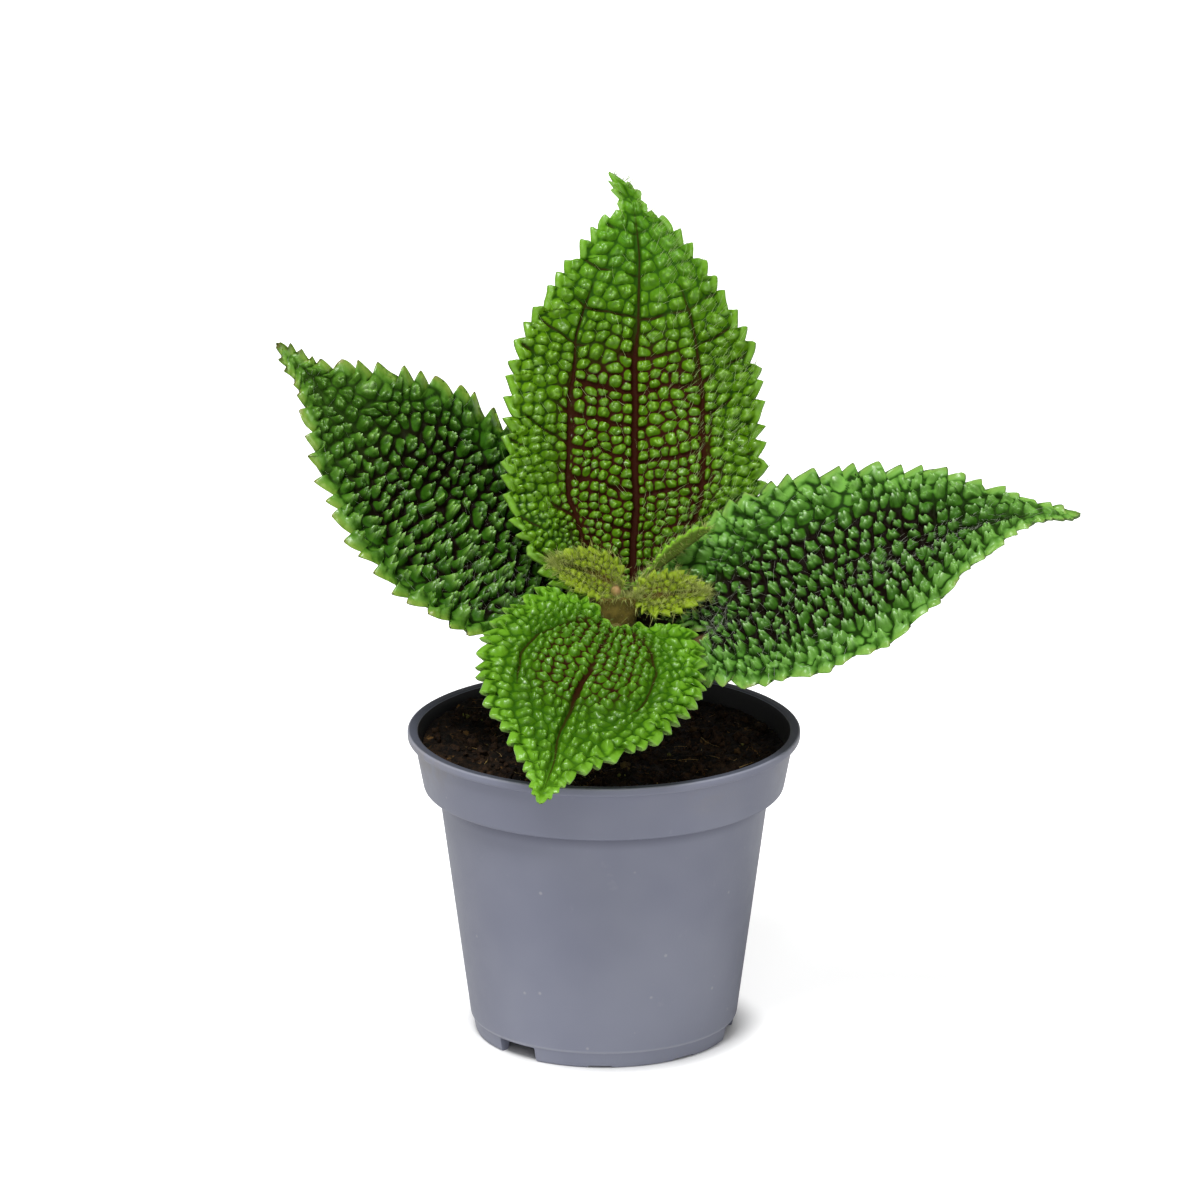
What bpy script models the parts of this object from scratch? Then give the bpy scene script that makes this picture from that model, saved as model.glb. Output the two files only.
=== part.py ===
"""A young pilea with quilted, toothed leaves, growing in a small round nursery pot.

Units are metres and +Z is up. The origin is the middle of the pot's foot, on its axis. The two oldest
leaves spread to -X and +X, one large leaf stands up behind the stem (+Y), and a smaller heart-shaped
leaf hangs forward (-Y) over the rim. A young pair, a bud and a side shoot sit at the top of the stem.
"""

import math
from dataclasses import dataclass

import bmesh
import bpy
import numpy as np
from mathutils import Vector

MM = 0.001
CLEARANCE = 0.3 * MM  # between two pieces that touch on the real plant

# Pot: a thin moulded shell with a wide collar and a turned-out rim
POT_HEIGHT = 48.0 * MM
WALL = 0.8 * MM
RIM_RADIUS = 30.0 * MM
RIM_BORE = 28.5 * MM
RIM_DEPTH = 1.3 * MM
COLLAR_TOP_RADIUS = 29.0 * MM
COLLAR_FOOT_RADIUS = 27.5 * MM
COLLAR_FOOT = 38.9 * MM
BODY_TOP_RADIUS = 25.3 * MM
BODY_FOOT_RADIUS = 20.5 * MM
BODY_FOOT = 2.7 * MM
BAND_DEPTH = 0.3 * MM
FOOT_RADIUS = 19.7 * MM
FOOT_BORE = 18.3 * MM
FLOOR = 2.0 * MM
PAD_RADIUS = 3.0 * MM
POT_STEPS = 56
ROUND = 0.4 * MM

# Foot slots: every third one is deep and drains the pot
SLOTS = 9
FIRST_SLOT = math.radians(-91.8)
SHALLOW_SLOT = (3.8 * MM, 0.35 * MM)  # width, height
DEEP_SLOT = (7.0 * MM, 2.3 * MM)
DRAIN_SIZE = (3.6 * MM, 5.0 * MM)  # radial, tangential
DRAIN_RADIUS = 16.4 * MM

# Soil: a plug of potting mix that fills the pot to just under the rim
SOIL_TOP = 45.2 * MM
SOIL_STEPS = 40
SOIL_RISE = 0.025  # the mix stands higher at the back left
SOIL_LUMP = 0.35 * MM

# Stem: rooted in the soil, with a swelling at each pair of leaves
STEM_SIDES = 10
SOCKET_FOOT = 36.0 * MM
STEM_PATH = (  # x, y, z, radius in millimetres
    (1.3, 0.5, 36.3, 1.9),
    (1.3, 0.5, 41.0, 2.3),
    (1.3, 0.5, 46.5, 2.3),
    (1.5, 0.4, 51.0, 2.1),
    (1.7, 0.3, 55.0, 2.2),
    (1.9, 0.2, 58.5, 2.7),
    (2.1, 0.1, 62.5, 2.3),
    (2.3, 0.0, 65.8, 2.8),
    (2.3, -0.3, 68.2, 2.5),
    (2.3, -0.6, 69.4, 1.8),
)

# Leaf outlines for one half, as fractions of the length: from the notch at the stalk, round the lobe,
# past the tips of the teeth and in to the drip tip
OUTLINES = {
    "standing": (
        (0.0, 0.0), (0.04, -0.035), (0.12, -0.055), (0.195, -0.025), (0.25, 0.045), (0.30, 0.125),
        (0.325, 0.24), (0.322, 0.36), (0.316, 0.48), (0.298, 0.57), (0.262, 0.64), (0.218, 0.71),
        (0.172, 0.78), (0.122, 0.845), (0.072, 0.89), (0.038, 0.915), (0.028, 0.94), (0.02, 0.97),
        (0.006, 1.0),
    ),
    "spread": (
        (0.0, 0.0), (0.04, -0.05), (0.125, -0.08), (0.21, -0.045), (0.27, 0.05), (0.315, 0.15),
        (0.35, 0.25), (0.36, 0.34), (0.346, 0.44), (0.315, 0.53), (0.27, 0.615), (0.216, 0.70),
        (0.16, 0.77), (0.105, 0.83), (0.06, 0.875), (0.034, 0.91), (0.024, 0.94), (0.017, 0.97),
        (0.005, 1.0),
    ),
    "heart": (
        (0.0, 0.0), (0.04, -0.04), (0.09, -0.08), (0.16, -0.108), (0.245, -0.10), (0.31, -0.035),
        (0.35, 0.08), (0.383, 0.215), (0.382, 0.335), (0.362, 0.43), (0.332, 0.53), (0.285, 0.62),
        (0.232, 0.69), (0.175, 0.76), (0.122, 0.825), (0.072, 0.885), (0.042, 0.92), (0.03, 0.95),
        (0.018, 0.98), (0.008, 1.0),
    ),
    "young": (
        (0.04, 0.0), (0.10, 0.03), (0.22, 0.08), (0.31, 0.20), (0.34, 0.38), (0.32, 0.58),
        (0.25, 0.76), (0.15, 0.90), (0.05, 1.0),
    ),
    "folded": (
        (0.05, 0.0), (0.055, 0.12), (0.09, 0.25), (0.15, 0.42), (0.19, 0.60), (0.18, 0.78),
        (0.13, 0.92), (0.04, 1.0),
    ),
}
STRAIGHT = ((0.0, 0.0), (1.0, 0.0))


@dataclass
class Leaf:
    """A blade on a bent midrib. Angles are in degrees and pairs run from the stalk to the tip."""

    name: str
    outline: str
    base: tuple  # where the stalk meets the blade, in millimetres
    heading: float  # of the midrib from +X, seen from above
    rise: tuple  # of the midrib above the horizontal
    roll: tuple  # of the blade about its midrib, right side down when positive
    length: float  # in millimetres
    sweep: float = 0.0  # how far the heading turns along the midrib
    width: tuple = (1.0, 1.0)  # of the left and of the right half, against the outline
    fold: float = 0.0  # each half's tilt up from the midrib
    dome: float = 0.0  # how far a half curls down again over DOME_SPAN
    bow: tuple = STRAIGHT  # sideways shift of the midrib at shares of the length, as fractions of it
    skew: float = 0.0  # how much further along the right half is fullest, as a fraction of the length
    teeth: int = 20
    tooth: float = 0.9  # in millimetres
    thickness: float = 0.8  # in millimetres
    columns: int = 3


DOME_SPAN = 20.0
LEAVES = (
    Leaf(
        "leaf_back", "standing", (4.5, 6.6, 69.0), 89, (64, 66), (8, 2), 64.0,
        width=(1.0, 0.97), fold=9, dome=4,
        bow=((0.0, 0.0), (0.8, 0.003), (0.89, -0.003), (0.93, -0.013), (0.965, -0.033), (1.0, -0.067)),
    ),
    Leaf(
        "leaf_front", "heart", (1.5, -8.1, 66.9), -108, (-11, -25), (-15, -14), 46.0,
        sweep=7, width=(1.0, 0.96), fold=7.5, dome=13, teeth=16,
    ),
    Leaf(
        "leaf_left", "spread", (-7.0, 5.8, 62.2), 168, (42, 48), (-10, -59), 61.3,
        sweep=5.5, width=(0.96, 1.0), fold=8.5, skew=0.03,
    ),
    Leaf(
        "leaf_right", "spread", (16.0, -5.0, 65.4), -13, (29, 13), (42, 23), 60.0,
        sweep=13, width=(1.02, 0.9), fold=8, skew=0.08,
        bow=((0.0, 0.0), (0.2, 0.026), (0.5, 0.013), (0.7, -0.02), (0.85, -0.028), (1.0, 0.03)),
    ),
    Leaf(
        "young_leaf_left", "young", (2.2, -1.0, 71.3), 176, (30, 14), (-56, -50), 11.0,
        fold=14, dome=30, teeth=6, tooth=0.6, thickness=0.8, columns=2,
    ),
    Leaf(
        "young_leaf_right", "young", (4.3, -2.3, 70.0), -5, (12, 0), (52, 44), 12.0,
        width=(0.95, 0.95), fold=14, dome=30, teeth=6, tooth=0.6, thickness=0.8, columns=2,
    ),
    Leaf(
        "axillary_leaf", "folded", (4.2, 1.5, 70.2), 1, (40, 38), (-26, -26), 15.0,
        fold=24, teeth=5, tooth=0.4, thickness=0.7, columns=2,
    ),
)

# Stalks: where each leaves the stem and how thick it is there and at the blade, in millimetres
STALKS = {
    "leaf_back": ((2.9, 3.1, 65.7), 1.4, 1.15),
    "leaf_front": ((2.1, -3.1, 64.6), 1.4, 1.1),
    "leaf_left": ((-1.3, 1.2, 57.3), 1.4, 1.1),
    "leaf_right": ((4.9, -0.7, 59.4), 1.5, 1.2),
}
STALK_REACH = 3.0  # how far a stalk runs on under the blade, in millimetres
BUD_CENTRE = (1.8, -3.25, 70.9)
BUD_RADII = (1.15, 0.9, 1.35)
# Stipule: a thin scale that wraps the front of the stem under the bud
STIPULE_FOOT = 66.4
STIPULE_RISE = 3.0
STIPULE_SPREAD = (32, 52)  # half angles at its foot and at its top, in degrees

# Colour, roughness and metallic value of each material
MATERIALS = {
    "pot_plastic": ((0.205, 0.215, 0.255), 0.45, 0.0),
    "soil": ((0.012, 0.008, 0.005), 0.95, 0.0),
    "stem": ((0.13, 0.12, 0.04), 0.6, 0.0),
    "leaf_dark": ((0.03, 0.13, 0.015), 0.4, 0.0),
    "leaf_bright": ((0.09, 0.28, 0.015), 0.4, 0.0),
    "leaf_young": ((0.30, 0.38, 0.05), 0.7, 0.0),
    "bud": ((0.42, 0.25, 0.10), 0.7, 0.0),
}


def reset():
    """Empties the scene and returns the collections for the parts and for the cutters."""
    for thing in list(bpy.data.objects):
        bpy.data.objects.remove(thing)
    made = []
    for name in ("potted_pilea", "cutters"):
        collection = bpy.data.collections.new(name)
        bpy.context.scene.collection.children.link(collection)
        made.append(collection)
    return made


def material(name):
    found = bpy.data.materials.get(name)
    if found:
        return found
    colour, roughness, metallic = MATERIALS[name]
    made = bpy.data.materials.new(name)
    made.use_nodes = True
    shader = made.node_tree.nodes["Principled BSDF"]
    shader.inputs["Base Color"].default_value = (*colour, 1.0)
    shader.inputs["Roughness"].default_value = roughness
    shader.inputs["Metallic"].default_value = metallic
    return made


def add_part(name, mesh, material_name):
    """Puts a mesh in the parts collection, smooth and with its material."""
    part = bpy.data.objects.new(name, mesh)
    PARTS.objects.link(part)
    mesh.materials.clear()
    mesh.materials.append(material(material_name))
    mesh.shade_smooth()
    mesh.set_sharp_from_angle(angle=math.radians(40))
    return part


def add_cutter(name, mesh):
    cutter = bpy.data.objects.new(name, mesh)
    CUTTERS.objects.link(cutter)
    cutter.hide_render = True
    cutter.display_type = "WIRE"
    return cutter


def cut(part, cutter):
    boolean = part.modifiers.new(cutter.name, "BOOLEAN")
    boolean.operation = "DIFFERENCE"
    boolean.solver = "EXACT"
    boolean.object = cutter


def evaluated_mesh(part):
    """The mesh that a part's modifiers or curve settings give."""
    bpy.context.view_layer.update()
    graph = bpy.context.evaluated_depsgraph_get()
    return bpy.data.meshes.new_from_object(part.evaluated_get(graph), depsgraph=graph)


def turned(name, profile, steps, material_name):
    """Turns a profile of (radius, height) points, outer side downwards, about the Z axis."""
    mesh = bpy.data.meshes.new(name)
    count = len(profile)
    edges = [(i, i + 1) for i in range(count - 1)]
    mesh.from_pydata([(r, 0.0, z) for r, z in profile], edges, [])
    part = add_part(name, mesh, material_name)
    screw = part.modifiers.new("turn", "SCREW")
    screw.axis = "Z"
    screw.steps = steps
    screw.render_steps = steps
    screw.use_merge_vertices = True
    screw.merge_threshold = 0.00001
    return part


def arc(centre, radius, start, end, steps=2):
    """Points (radius, height) along an arc, with its angles in degrees."""
    angles = np.radians(np.linspace(start, end, steps + 1))
    return [(centre[0] + radius * math.cos(a), centre[1] + radius * math.sin(a)) for a in angles]


def body_radius(z):
    """Outer radius of the tapered body at a height."""
    share = (z - BODY_FOOT) / (COLLAR_FOOT - BODY_FOOT)
    return BODY_FOOT_RADIUS + share * (BODY_TOP_RADIUS - BODY_FOOT_RADIUS)


def pot_profile():
    """The moulded shell, from the middle of its floor over the rim and back under the floor."""
    floor_top = FLOOR + WALL
    ledge = COLLAR_FOOT + WALL
    under_rim = POT_HEIGHT - RIM_DEPTH
    inside = [
        (0.0, floor_top),
        (body_radius(floor_top) - WALL - ROUND, floor_top),
        (body_radius(floor_top) - WALL, floor_top + ROUND),
        (body_radius(ledge) - WALL, ledge),
        (COLLAR_FOOT_RADIUS - WALL - ROUND, ledge),
        (COLLAR_FOOT_RADIUS - WALL, ledge + ROUND),
        (COLLAR_TOP_RADIUS - WALL, under_rim),
    ]
    lip = arc((RIM_BORE + ROUND, POT_HEIGHT - ROUND), ROUND, 180, 90)
    lip += arc((RIM_RADIUS - ROUND, POT_HEIGHT - ROUND), ROUND, 90, 0)
    outside = [
        (RIM_RADIUS, under_rim + ROUND),
        (RIM_RADIUS - ROUND, under_rim),
        (COLLAR_TOP_RADIUS, under_rim),
        (COLLAR_FOOT_RADIUS, COLLAR_FOOT + ROUND),
        (COLLAR_FOOT_RADIUS - ROUND, COLLAR_FOOT),
        (BODY_TOP_RADIUS, COLLAR_FOOT),
        (BODY_FOOT_RADIUS, BODY_FOOT),
        (BODY_FOOT_RADIUS - BAND_DEPTH, BODY_FOOT - BAND_DEPTH),
        (FOOT_RADIUS, ROUND),
        (FOOT_RADIUS - ROUND, 0.0),
    ]
    under = [
        (FOOT_BORE, 0.0),
        (FOOT_BORE - ROUND, FLOOR),
        (PAD_RADIUS + ROUND, FLOOR),
        (PAD_RADIUS, 0.0),
        (0.0, 0.0),
    ]
    return inside + lip + outside + under


def boxes(name, placed):
    """One cutter of separate boxes, each (radius, angle, low z, high z, radial size, tangential size)."""
    mesh = bpy.data.meshes.new(name)
    shape = bmesh.new()
    for radius, angle, low, high, deep, wide in placed:
        new = bmesh.ops.create_cube(shape, size=1.0)["verts"]
        bmesh.ops.scale(shape, vec=(deep, wide, high - low), verts=new)
        bmesh.ops.translate(shape, vec=(radius, 0.0, (low + high) / 2), verts=new)
        turn = Vector((math.cos(angle), math.sin(angle), 0.0))
        for vert in new:
            x, y, z = vert.co
            vert.co = (turn.x * x - turn.y * y, turn.y * x + turn.x * y, z)
    shape.to_mesh(mesh)
    shape.free()
    return add_cutter(name, mesh)


def make_pot():
    pot = turned("pot", pot_profile(), POT_STEPS, "pot_plastic")
    ring = (FOOT_RADIUS + FOOT_BORE) / 2 + 0.4 * MM
    through = 4.0 * MM
    slots, drains = [], []
    for i in range(SLOTS):
        angle = FIRST_SLOT + i * math.tau / SLOTS
        deep = i % 3 == 2
        wide, high = DEEP_SLOT if deep else SHALLOW_SLOT
        slots.append((ring, angle, -1.0 * MM, high, through, wide))
        if deep:
            drains.append((DRAIN_RADIUS, angle, FLOOR - 1.0 * MM, FLOOR + 2.0 * MM, *DRAIN_SIZE))
    cut(pot, boxes("foot_slots", slots))
    cut(pot, boxes("drain_holes", drains))
    return pot


def soil_top(x, y, radius_share):
    """Height of the mix: a slight slope with low lumps that fade at the wall."""
    slope = SOIL_RISE * (y - x) * 0.7
    lumps = math.sin(x * 610 + 1.3) * math.cos(y * 540 - 0.6) + 0.6 * math.sin((x + y) * 930)
    return slope + SOIL_LUMP * lumps * (1 - radius_share**3)


def make_soil():
    """The plug follows the pot's inside wall, then its top is roughened and the stem's socket cut."""
    floor = FLOOR + WALL + CLEARANCE
    ledge = COLLAR_FOOT + WALL + CLEARANCE
    gap = WALL + CLEARANCE
    top_radius = COLLAR_TOP_RADIUS - gap - 0.55 * MM
    top = [(top_radius * share, SOIL_TOP) for share in (0.0, 0.2, 0.4, 0.6, 0.8, 1.0)]
    profile = top + [
        (COLLAR_FOOT_RADIUS - gap, ledge + ROUND),
        (COLLAR_FOOT_RADIUS - gap - ROUND, ledge),
        (body_radius(ledge) - gap, ledge),
        (body_radius(floor) - gap, floor + ROUND),
        (body_radius(floor) - gap - ROUND, floor),
        (0.0, floor),
    ]
    blank = turned("soil_blank", profile, SOIL_STEPS, "soil")
    mesh = evaluated_mesh(blank)
    bpy.data.objects.remove(blank)
    for vert in mesh.vertices:
        if vert.co.z > SOIL_TOP - 0.1 * MM:
            share = vert.co.xy.length / top_radius
            vert.co.z += soil_top(vert.co.x, vert.co.y, share)
    soil = add_part("soil", mesh, "soil")
    x, y, _, _ = STEM_PATH[0]
    widest = max(radius for _, _, z, radius in STEM_PATH if z < 48)
    cut(soil, stem_socket((x * MM, y * MM), widest * MM + CLEARANCE))
    return soil


def stem_socket(centre, radius):
    mesh = bpy.data.meshes.new("stem_socket")
    shape = bmesh.new()
    depth = POT_HEIGHT - SOCKET_FOOT
    new = bmesh.ops.create_cone(
        shape, cap_ends=True, segments=20, radius1=radius, radius2=radius, depth=depth
    )
    middle = (*centre, SOCKET_FOOT + depth / 2)
    bmesh.ops.translate(shape, vec=middle, verts=new["verts"])
    shape.to_mesh(mesh)
    shape.free()
    return add_cutter("stem_socket", mesh)


def tube(name, points, material_name):
    """A closed tube through (x, y, z, radius) points in millimetres."""
    curve = bpy.data.curves.new(name, "CURVE")
    curve.dimensions = "3D"
    curve.bevel_depth = MM
    curve.bevel_resolution = (STEM_SIDES - 4) // 2
    curve.use_fill_caps = True
    spline = curve.splines.new("POLY")
    spline.points.add(len(points) - 1)
    for point, (x, y, z, radius) in zip(spline.points, points, strict=True):
        point.co = (x * MM, y * MM, z * MM, 1.0)
        point.radius = radius
    guide = bpy.data.objects.new(name + "_curve", curve)
    PARTS.objects.link(guide)
    mesh = evaluated_mesh(guide)
    bpy.data.objects.remove(guide)
    shape = bmesh.new()
    shape.from_mesh(mesh)
    bmesh.ops.remove_doubles(shape, verts=shape.verts, dist=0.001 * MM)
    shape.to_mesh(mesh)
    shape.free()
    return add_part(name, mesh, material_name)


def smooth_line(points, per_span=12):
    """Evenly spaced points on a Catmull-Rom curve through the given ones."""
    given = np.array(points, float)
    ends = np.vstack([2 * given[0] - given[1], given, 2 * given[-1] - given[-2]])
    t = np.linspace(0, 1, per_span, endpoint=False)[:, None]
    runs = []
    for a, b, c, d in zip(ends, ends[1:], ends[2:], ends[3:], strict=False):
        runs.append(
            0.5 * (2 * b + (c - a) * t + (2 * a - 5 * b + 4 * c - d) * t**2
                   + (3 * b - a - 3 * c + d) * t**3)
        )
    return np.vstack([*runs, given[-1:]])


def along(line, shares):
    """Points at shares of a line's length, with the line's direction there."""
    steps = np.linalg.norm(np.diff(line, axis=0), axis=1)
    run = np.concatenate([[0.0], np.cumsum(steps)])
    where = np.asarray(shares) * run[-1]
    found = np.stack([np.interp(where, run, line[:, k]) for k in range(line.shape[1])], axis=1)
    ahead = np.stack(
        [np.interp(where + 0.01 * run[-1], run, line[:, k]) for k in range(line.shape[1])], axis=1
    )
    behind = np.stack(
        [np.interp(where - 0.01 * run[-1], run, line[:, k]) for k in range(line.shape[1])], axis=1
    )
    direction = ahead - behind
    return found, direction / np.linalg.norm(direction, axis=1, keepdims=True)


class Blade:
    """The curved surface that a leaf's flat outline is laid on."""

    SAMPLES = 241

    def __init__(self, leaf):
        self.leaf = leaf
        self.run = np.linspace(-0.2, 1.0, self.SAMPLES) * leaf.length
        share = np.clip(self.run / leaf.length, 0, 1)
        pitch = np.radians(leaf.rise[0] + (leaf.rise[1] - leaf.rise[0]) * share)
        heading = np.radians(leaf.heading + leaf.sweep * share)
        roll = np.radians(leaf.roll[0] + (leaf.roll[1] - leaf.roll[0]) * share)[:, None]
        ahead = np.stack(
            [np.cos(pitch) * np.cos(heading), np.cos(pitch) * np.sin(heading), np.sin(pitch)], axis=1
        )
        level = np.stack([np.sin(heading), -np.cos(heading), 0 * heading], axis=1)
        above = np.cross(level, ahead)
        self.side = level * np.cos(roll) - above * np.sin(roll)
        self.normal = above * np.cos(roll) + level * np.sin(roll)
        step = self.run[1] - self.run[0]
        line = np.vstack([np.zeros(3), np.cumsum((ahead[1:] + ahead[:-1]) / 2 * step, axis=0)])
        start = np.argmin(np.abs(self.run))
        self.midrib = line - line[start] + np.array(leaf.base)
        self.bow = smooth_line(leaf.bow)

    def at(self, values, y):
        return np.array([np.interp(y, self.run, values[:, k]) for k in range(3)])

    def point(self, x, y, lift=0.0):
        """The place, in millimetres, of a point x across and y along the flat leaf."""
        leaf = self.leaf
        x = x + np.interp(y / leaf.length, self.bow[:, 0], self.bow[:, 1]) * leaf.length
        tilt = math.radians(leaf.fold)
        curl = math.radians(leaf.dome) / DOME_SPAN
        reach = abs(x)
        if curl:
            across = (math.sin(tilt) - math.sin(tilt - curl * reach)) / curl
            up = (math.cos(tilt - curl * reach) - math.cos(tilt)) / curl
        else:
            across = reach * math.cos(tilt)
            up = reach * math.sin(tilt)
        sideways = math.copysign(across, x)
        level = self.at(self.midrib, y) + self.at(self.side, y) * sideways
        return level + self.at(self.normal, y) * (up + lift)


def half_rows(leaf):
    """For each row of the blade, where it meets the midrib and where it meets the toothed edge."""
    line = smooth_line(OUTLINES[leaf.outline]) * leaf.length
    rows = 2 * leaf.teeth
    shares = np.linspace(0.04, 1.0, rows + 1)
    edge, direction = along(line, shares)
    inward = np.stack([-direction[:, 1], direction[:, 0]], axis=1)
    feet = leaf.length * np.linspace(0.0, 1.0, rows + 1) ** 1.1
    for i in range(1, rows):
        fade = min(1.0, (rows - i) / 8, (i + 2) / 6)
        if i % 2:
            edge[i] += direction[i] * 0.35 * leaf.tooth * fade
        else:
            edge[i] += inward[i] * leaf.tooth * fade
    return feet, edge


def make_leaf(leaf):
    """A grid is laid out on the flat leaf, bent onto its blade and given its thickness downwards."""
    blade = Blade(leaf)
    feet, edge = half_rows(leaf)
    rows = len(feet) - 1
    mesh = bpy.data.meshes.new(leaf.name)
    shape = bmesh.new()
    bmesh.ops.create_grid(shape, x_segments=2 * leaf.columns, y_segments=rows, size=1.0)
    for vert in shape.verts:
        row = round((vert.co.y + 1) / 2 * rows)
        across = vert.co.x
        share = row / rows
        shift = math.copysign(leaf.skew * leaf.length * 4 * share * (1 - share), across)
        x = across * edge[row][0] * leaf.width[across > 0]
        y = feet[row] + abs(across) * (edge[row][1] + shift - feet[row])
        vert.co = Vector(blade.point(x, y)) * MM
    shape.to_mesh(mesh)
    shape.free()
    finish = {"leaf_back": "leaf_bright", "leaf_front": "leaf_bright", "leaf_left": "leaf_dark",
              "leaf_right": "leaf_dark"}.get(leaf.name, "leaf_young")
    part = add_part(leaf.name, mesh, finish)
    solid = part.modifiers.new("thickness", "SOLIDIFY")
    solid.thickness = leaf.thickness * MM
    solid.offset = -1.0
    return part


def make_stalk(leaf):
    """A stalk curves from the stem to the underside of its blade and runs on a little below it."""
    start, thick, thin = STALKS[leaf.name]
    blade = Blade(leaf)
    below = -(leaf.thickness + 1.4 * CLEARANCE / MM + thin)
    reach = blade.point(0.0, STALK_REACH, below)
    under = blade.point(0.0, -1.0, below)
    middle = (np.array(start) + under) / 2
    middle[2] -= 0.06 * np.linalg.norm(under - np.array(start))
    line = smooth_line([start, middle, under, reach], per_span=2)
    radii = np.linspace(thick, thin, len(line))
    points = [(*place, radius) for place, radius in zip(line, radii, strict=True)]
    return tube(leaf.name.replace("leaf", "petiole"), points, "stem")


def make_bud():
    mesh = bpy.data.meshes.new("terminal_bud")
    shape = bmesh.new()
    bmesh.ops.create_uvsphere(shape, u_segments=12, v_segments=8, radius=MM)
    bmesh.ops.scale(shape, vec=BUD_RADII, verts=shape.verts)
    bmesh.ops.translate(shape, vec=Vector(BUD_CENTRE) * MM, verts=shape.verts)
    shape.to_mesh(mesh)
    shape.free()
    return add_part("terminal_bud", mesh, "bud")


def make_stipule():
    """A grid bent round the stem's axis, with its upper edge falling away to both sides."""
    x, y, _, radius = min(STEM_PATH, key=lambda p: abs(p[2] - STIPULE_FOOT))
    mesh = bpy.data.meshes.new("stipule")
    shape = bmesh.new()
    bmesh.ops.create_grid(shape, x_segments=8, y_segments=4, size=1.0)
    for vert in shape.verts:
        share = (vert.co.y + 1) / 2
        spread = STIPULE_SPREAD[0] + share * (STIPULE_SPREAD[1] - STIPULE_SPREAD[0])
        angle = math.radians(-90 + vert.co.x * spread)
        out = radius + CLEARANCE / MM + 0.12 + 0.35 * share
        height = STIPULE_FOOT + share * STIPULE_RISE * (1 - 0.75 * vert.co.x**2)
        vert.co = Vector((x + out * math.cos(angle), y + out * math.sin(angle), height)) * MM
    shape.to_mesh(mesh)
    shape.free()
    part = add_part("stipule", mesh, "bud")
    solid = part.modifiers.new("thickness", "SOLIDIFY")
    solid.thickness = 0.5 * MM
    solid.offset = 1.0
    return part


PARTS, CUTTERS = reset()
make_pot()
make_soil()
tube("main_stem", STEM_PATH, "stem")
for one in LEAVES:
    make_leaf(one)
    if one.name in STALKS:
        make_stalk(one)
make_bud()
make_stipule()
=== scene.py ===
# %% [markdown]
# # A young pilea in a small nursery pot
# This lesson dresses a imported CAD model. The model is a frame of plain solids that says where every leaf,
# stalk and wall is, and it is never changed here. Each cell below makes one piece of the real plant: the
# quilted leaves, their hairs, the moulded pot, the potting mix. All lengths are in metres.

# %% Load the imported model
import math
from dataclasses import dataclass
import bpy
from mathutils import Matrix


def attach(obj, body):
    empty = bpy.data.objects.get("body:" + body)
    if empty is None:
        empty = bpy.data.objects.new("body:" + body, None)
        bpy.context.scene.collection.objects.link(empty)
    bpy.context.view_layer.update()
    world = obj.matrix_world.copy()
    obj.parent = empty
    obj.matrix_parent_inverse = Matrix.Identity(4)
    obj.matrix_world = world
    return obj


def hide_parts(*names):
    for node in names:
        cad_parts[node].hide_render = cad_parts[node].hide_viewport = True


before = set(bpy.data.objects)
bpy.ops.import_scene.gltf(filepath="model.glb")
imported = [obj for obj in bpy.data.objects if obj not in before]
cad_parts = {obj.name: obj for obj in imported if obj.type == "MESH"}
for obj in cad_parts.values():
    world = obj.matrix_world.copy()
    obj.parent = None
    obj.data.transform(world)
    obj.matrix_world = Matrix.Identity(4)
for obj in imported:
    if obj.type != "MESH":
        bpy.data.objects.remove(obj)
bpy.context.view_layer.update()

from types import SimpleNamespace

import bpy
import numpy as np
from mathutils import kdtree, noise

MM = 0.001

# %% [markdown]
# ## Camera, floor and light
# A small plant shows its leaves as well as its pot from a little above, so the camera looks down on it. It
# stands far off, with a long lens. Light comes from two big soft suns, so that it is the same all over the
# floor, and from a pale sky. The floor is white and keeps the soft shadow; for the camera alone a little
# white is added to it, so that it meets the white backdrop without a seam. Under the pot and in a ring
# round its foot less of that white is added, which paints a soft shade there.

# %% Camera
LOOKS_DOWN = 17  # degrees
camera_data = bpy.data.cameras.new("camera")
camera_data.sensor_width, camera_data.lens = 36.0, 270.0
camera = bpy.data.objects.new("camera", camera_data)
bpy.context.scene.collection.objects.link(camera)
camera.location = (-0.0006, -1.3083, 0.4684)
camera.rotation_euler = (math.radians(90 - LOOKS_DOWN), 0.0, 0.0)
bpy.context.scene.camera = camera
bpy.context.scene.view_settings.view_transform = "Standard"
print("the camera looks down by", LOOKS_DOWN, "degrees")

# %% Lights
SUNS = {  # azimuth from the camera's side towards its right, elevation, softness in degrees, strength
    "key": (-28, 64, 24, 2.8),
    "fill": (6, 28, 40, 0.82),
}
for name, (azimuth, elevation, softness, strength) in SUNS.items():
    lamp = bpy.data.lights.new(name, "SUN")
    lamp.energy = strength
    lamp.angle = math.radians(softness)
    sun = bpy.data.objects.new(name, lamp)
    bpy.context.scene.collection.objects.link(sun)
    sun.rotation_euler = (math.radians(90 - elevation), 0.0, math.radians(azimuth))

SKY = 0.21
world = bpy.data.worlds.new("studio")
bpy.context.scene.world = world
world.use_nodes = True
nodes, links = world.node_tree.nodes, world.node_tree.links
nodes.clear()
rays = nodes.new("ShaderNodeLightPath")
level = nodes.new("ShaderNodeMapRange")
level.inputs["To Min"].default_value = SKY
level.inputs["To Max"].default_value = 1.0
links.new(rays.outputs["Is Camera Ray"], level.inputs["Value"])
sky = nodes.new("ShaderNodeBackground")
sky.inputs["Color"].default_value = (1.0, 1.0, 1.0, 1.0)
links.new(level.outputs[0], sky.inputs["Strength"])
links.new(sky.outputs[0], nodes.new("ShaderNodeOutputWorld").inputs["Surface"])
print("lights:", *SUNS, "and the sky")


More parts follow.
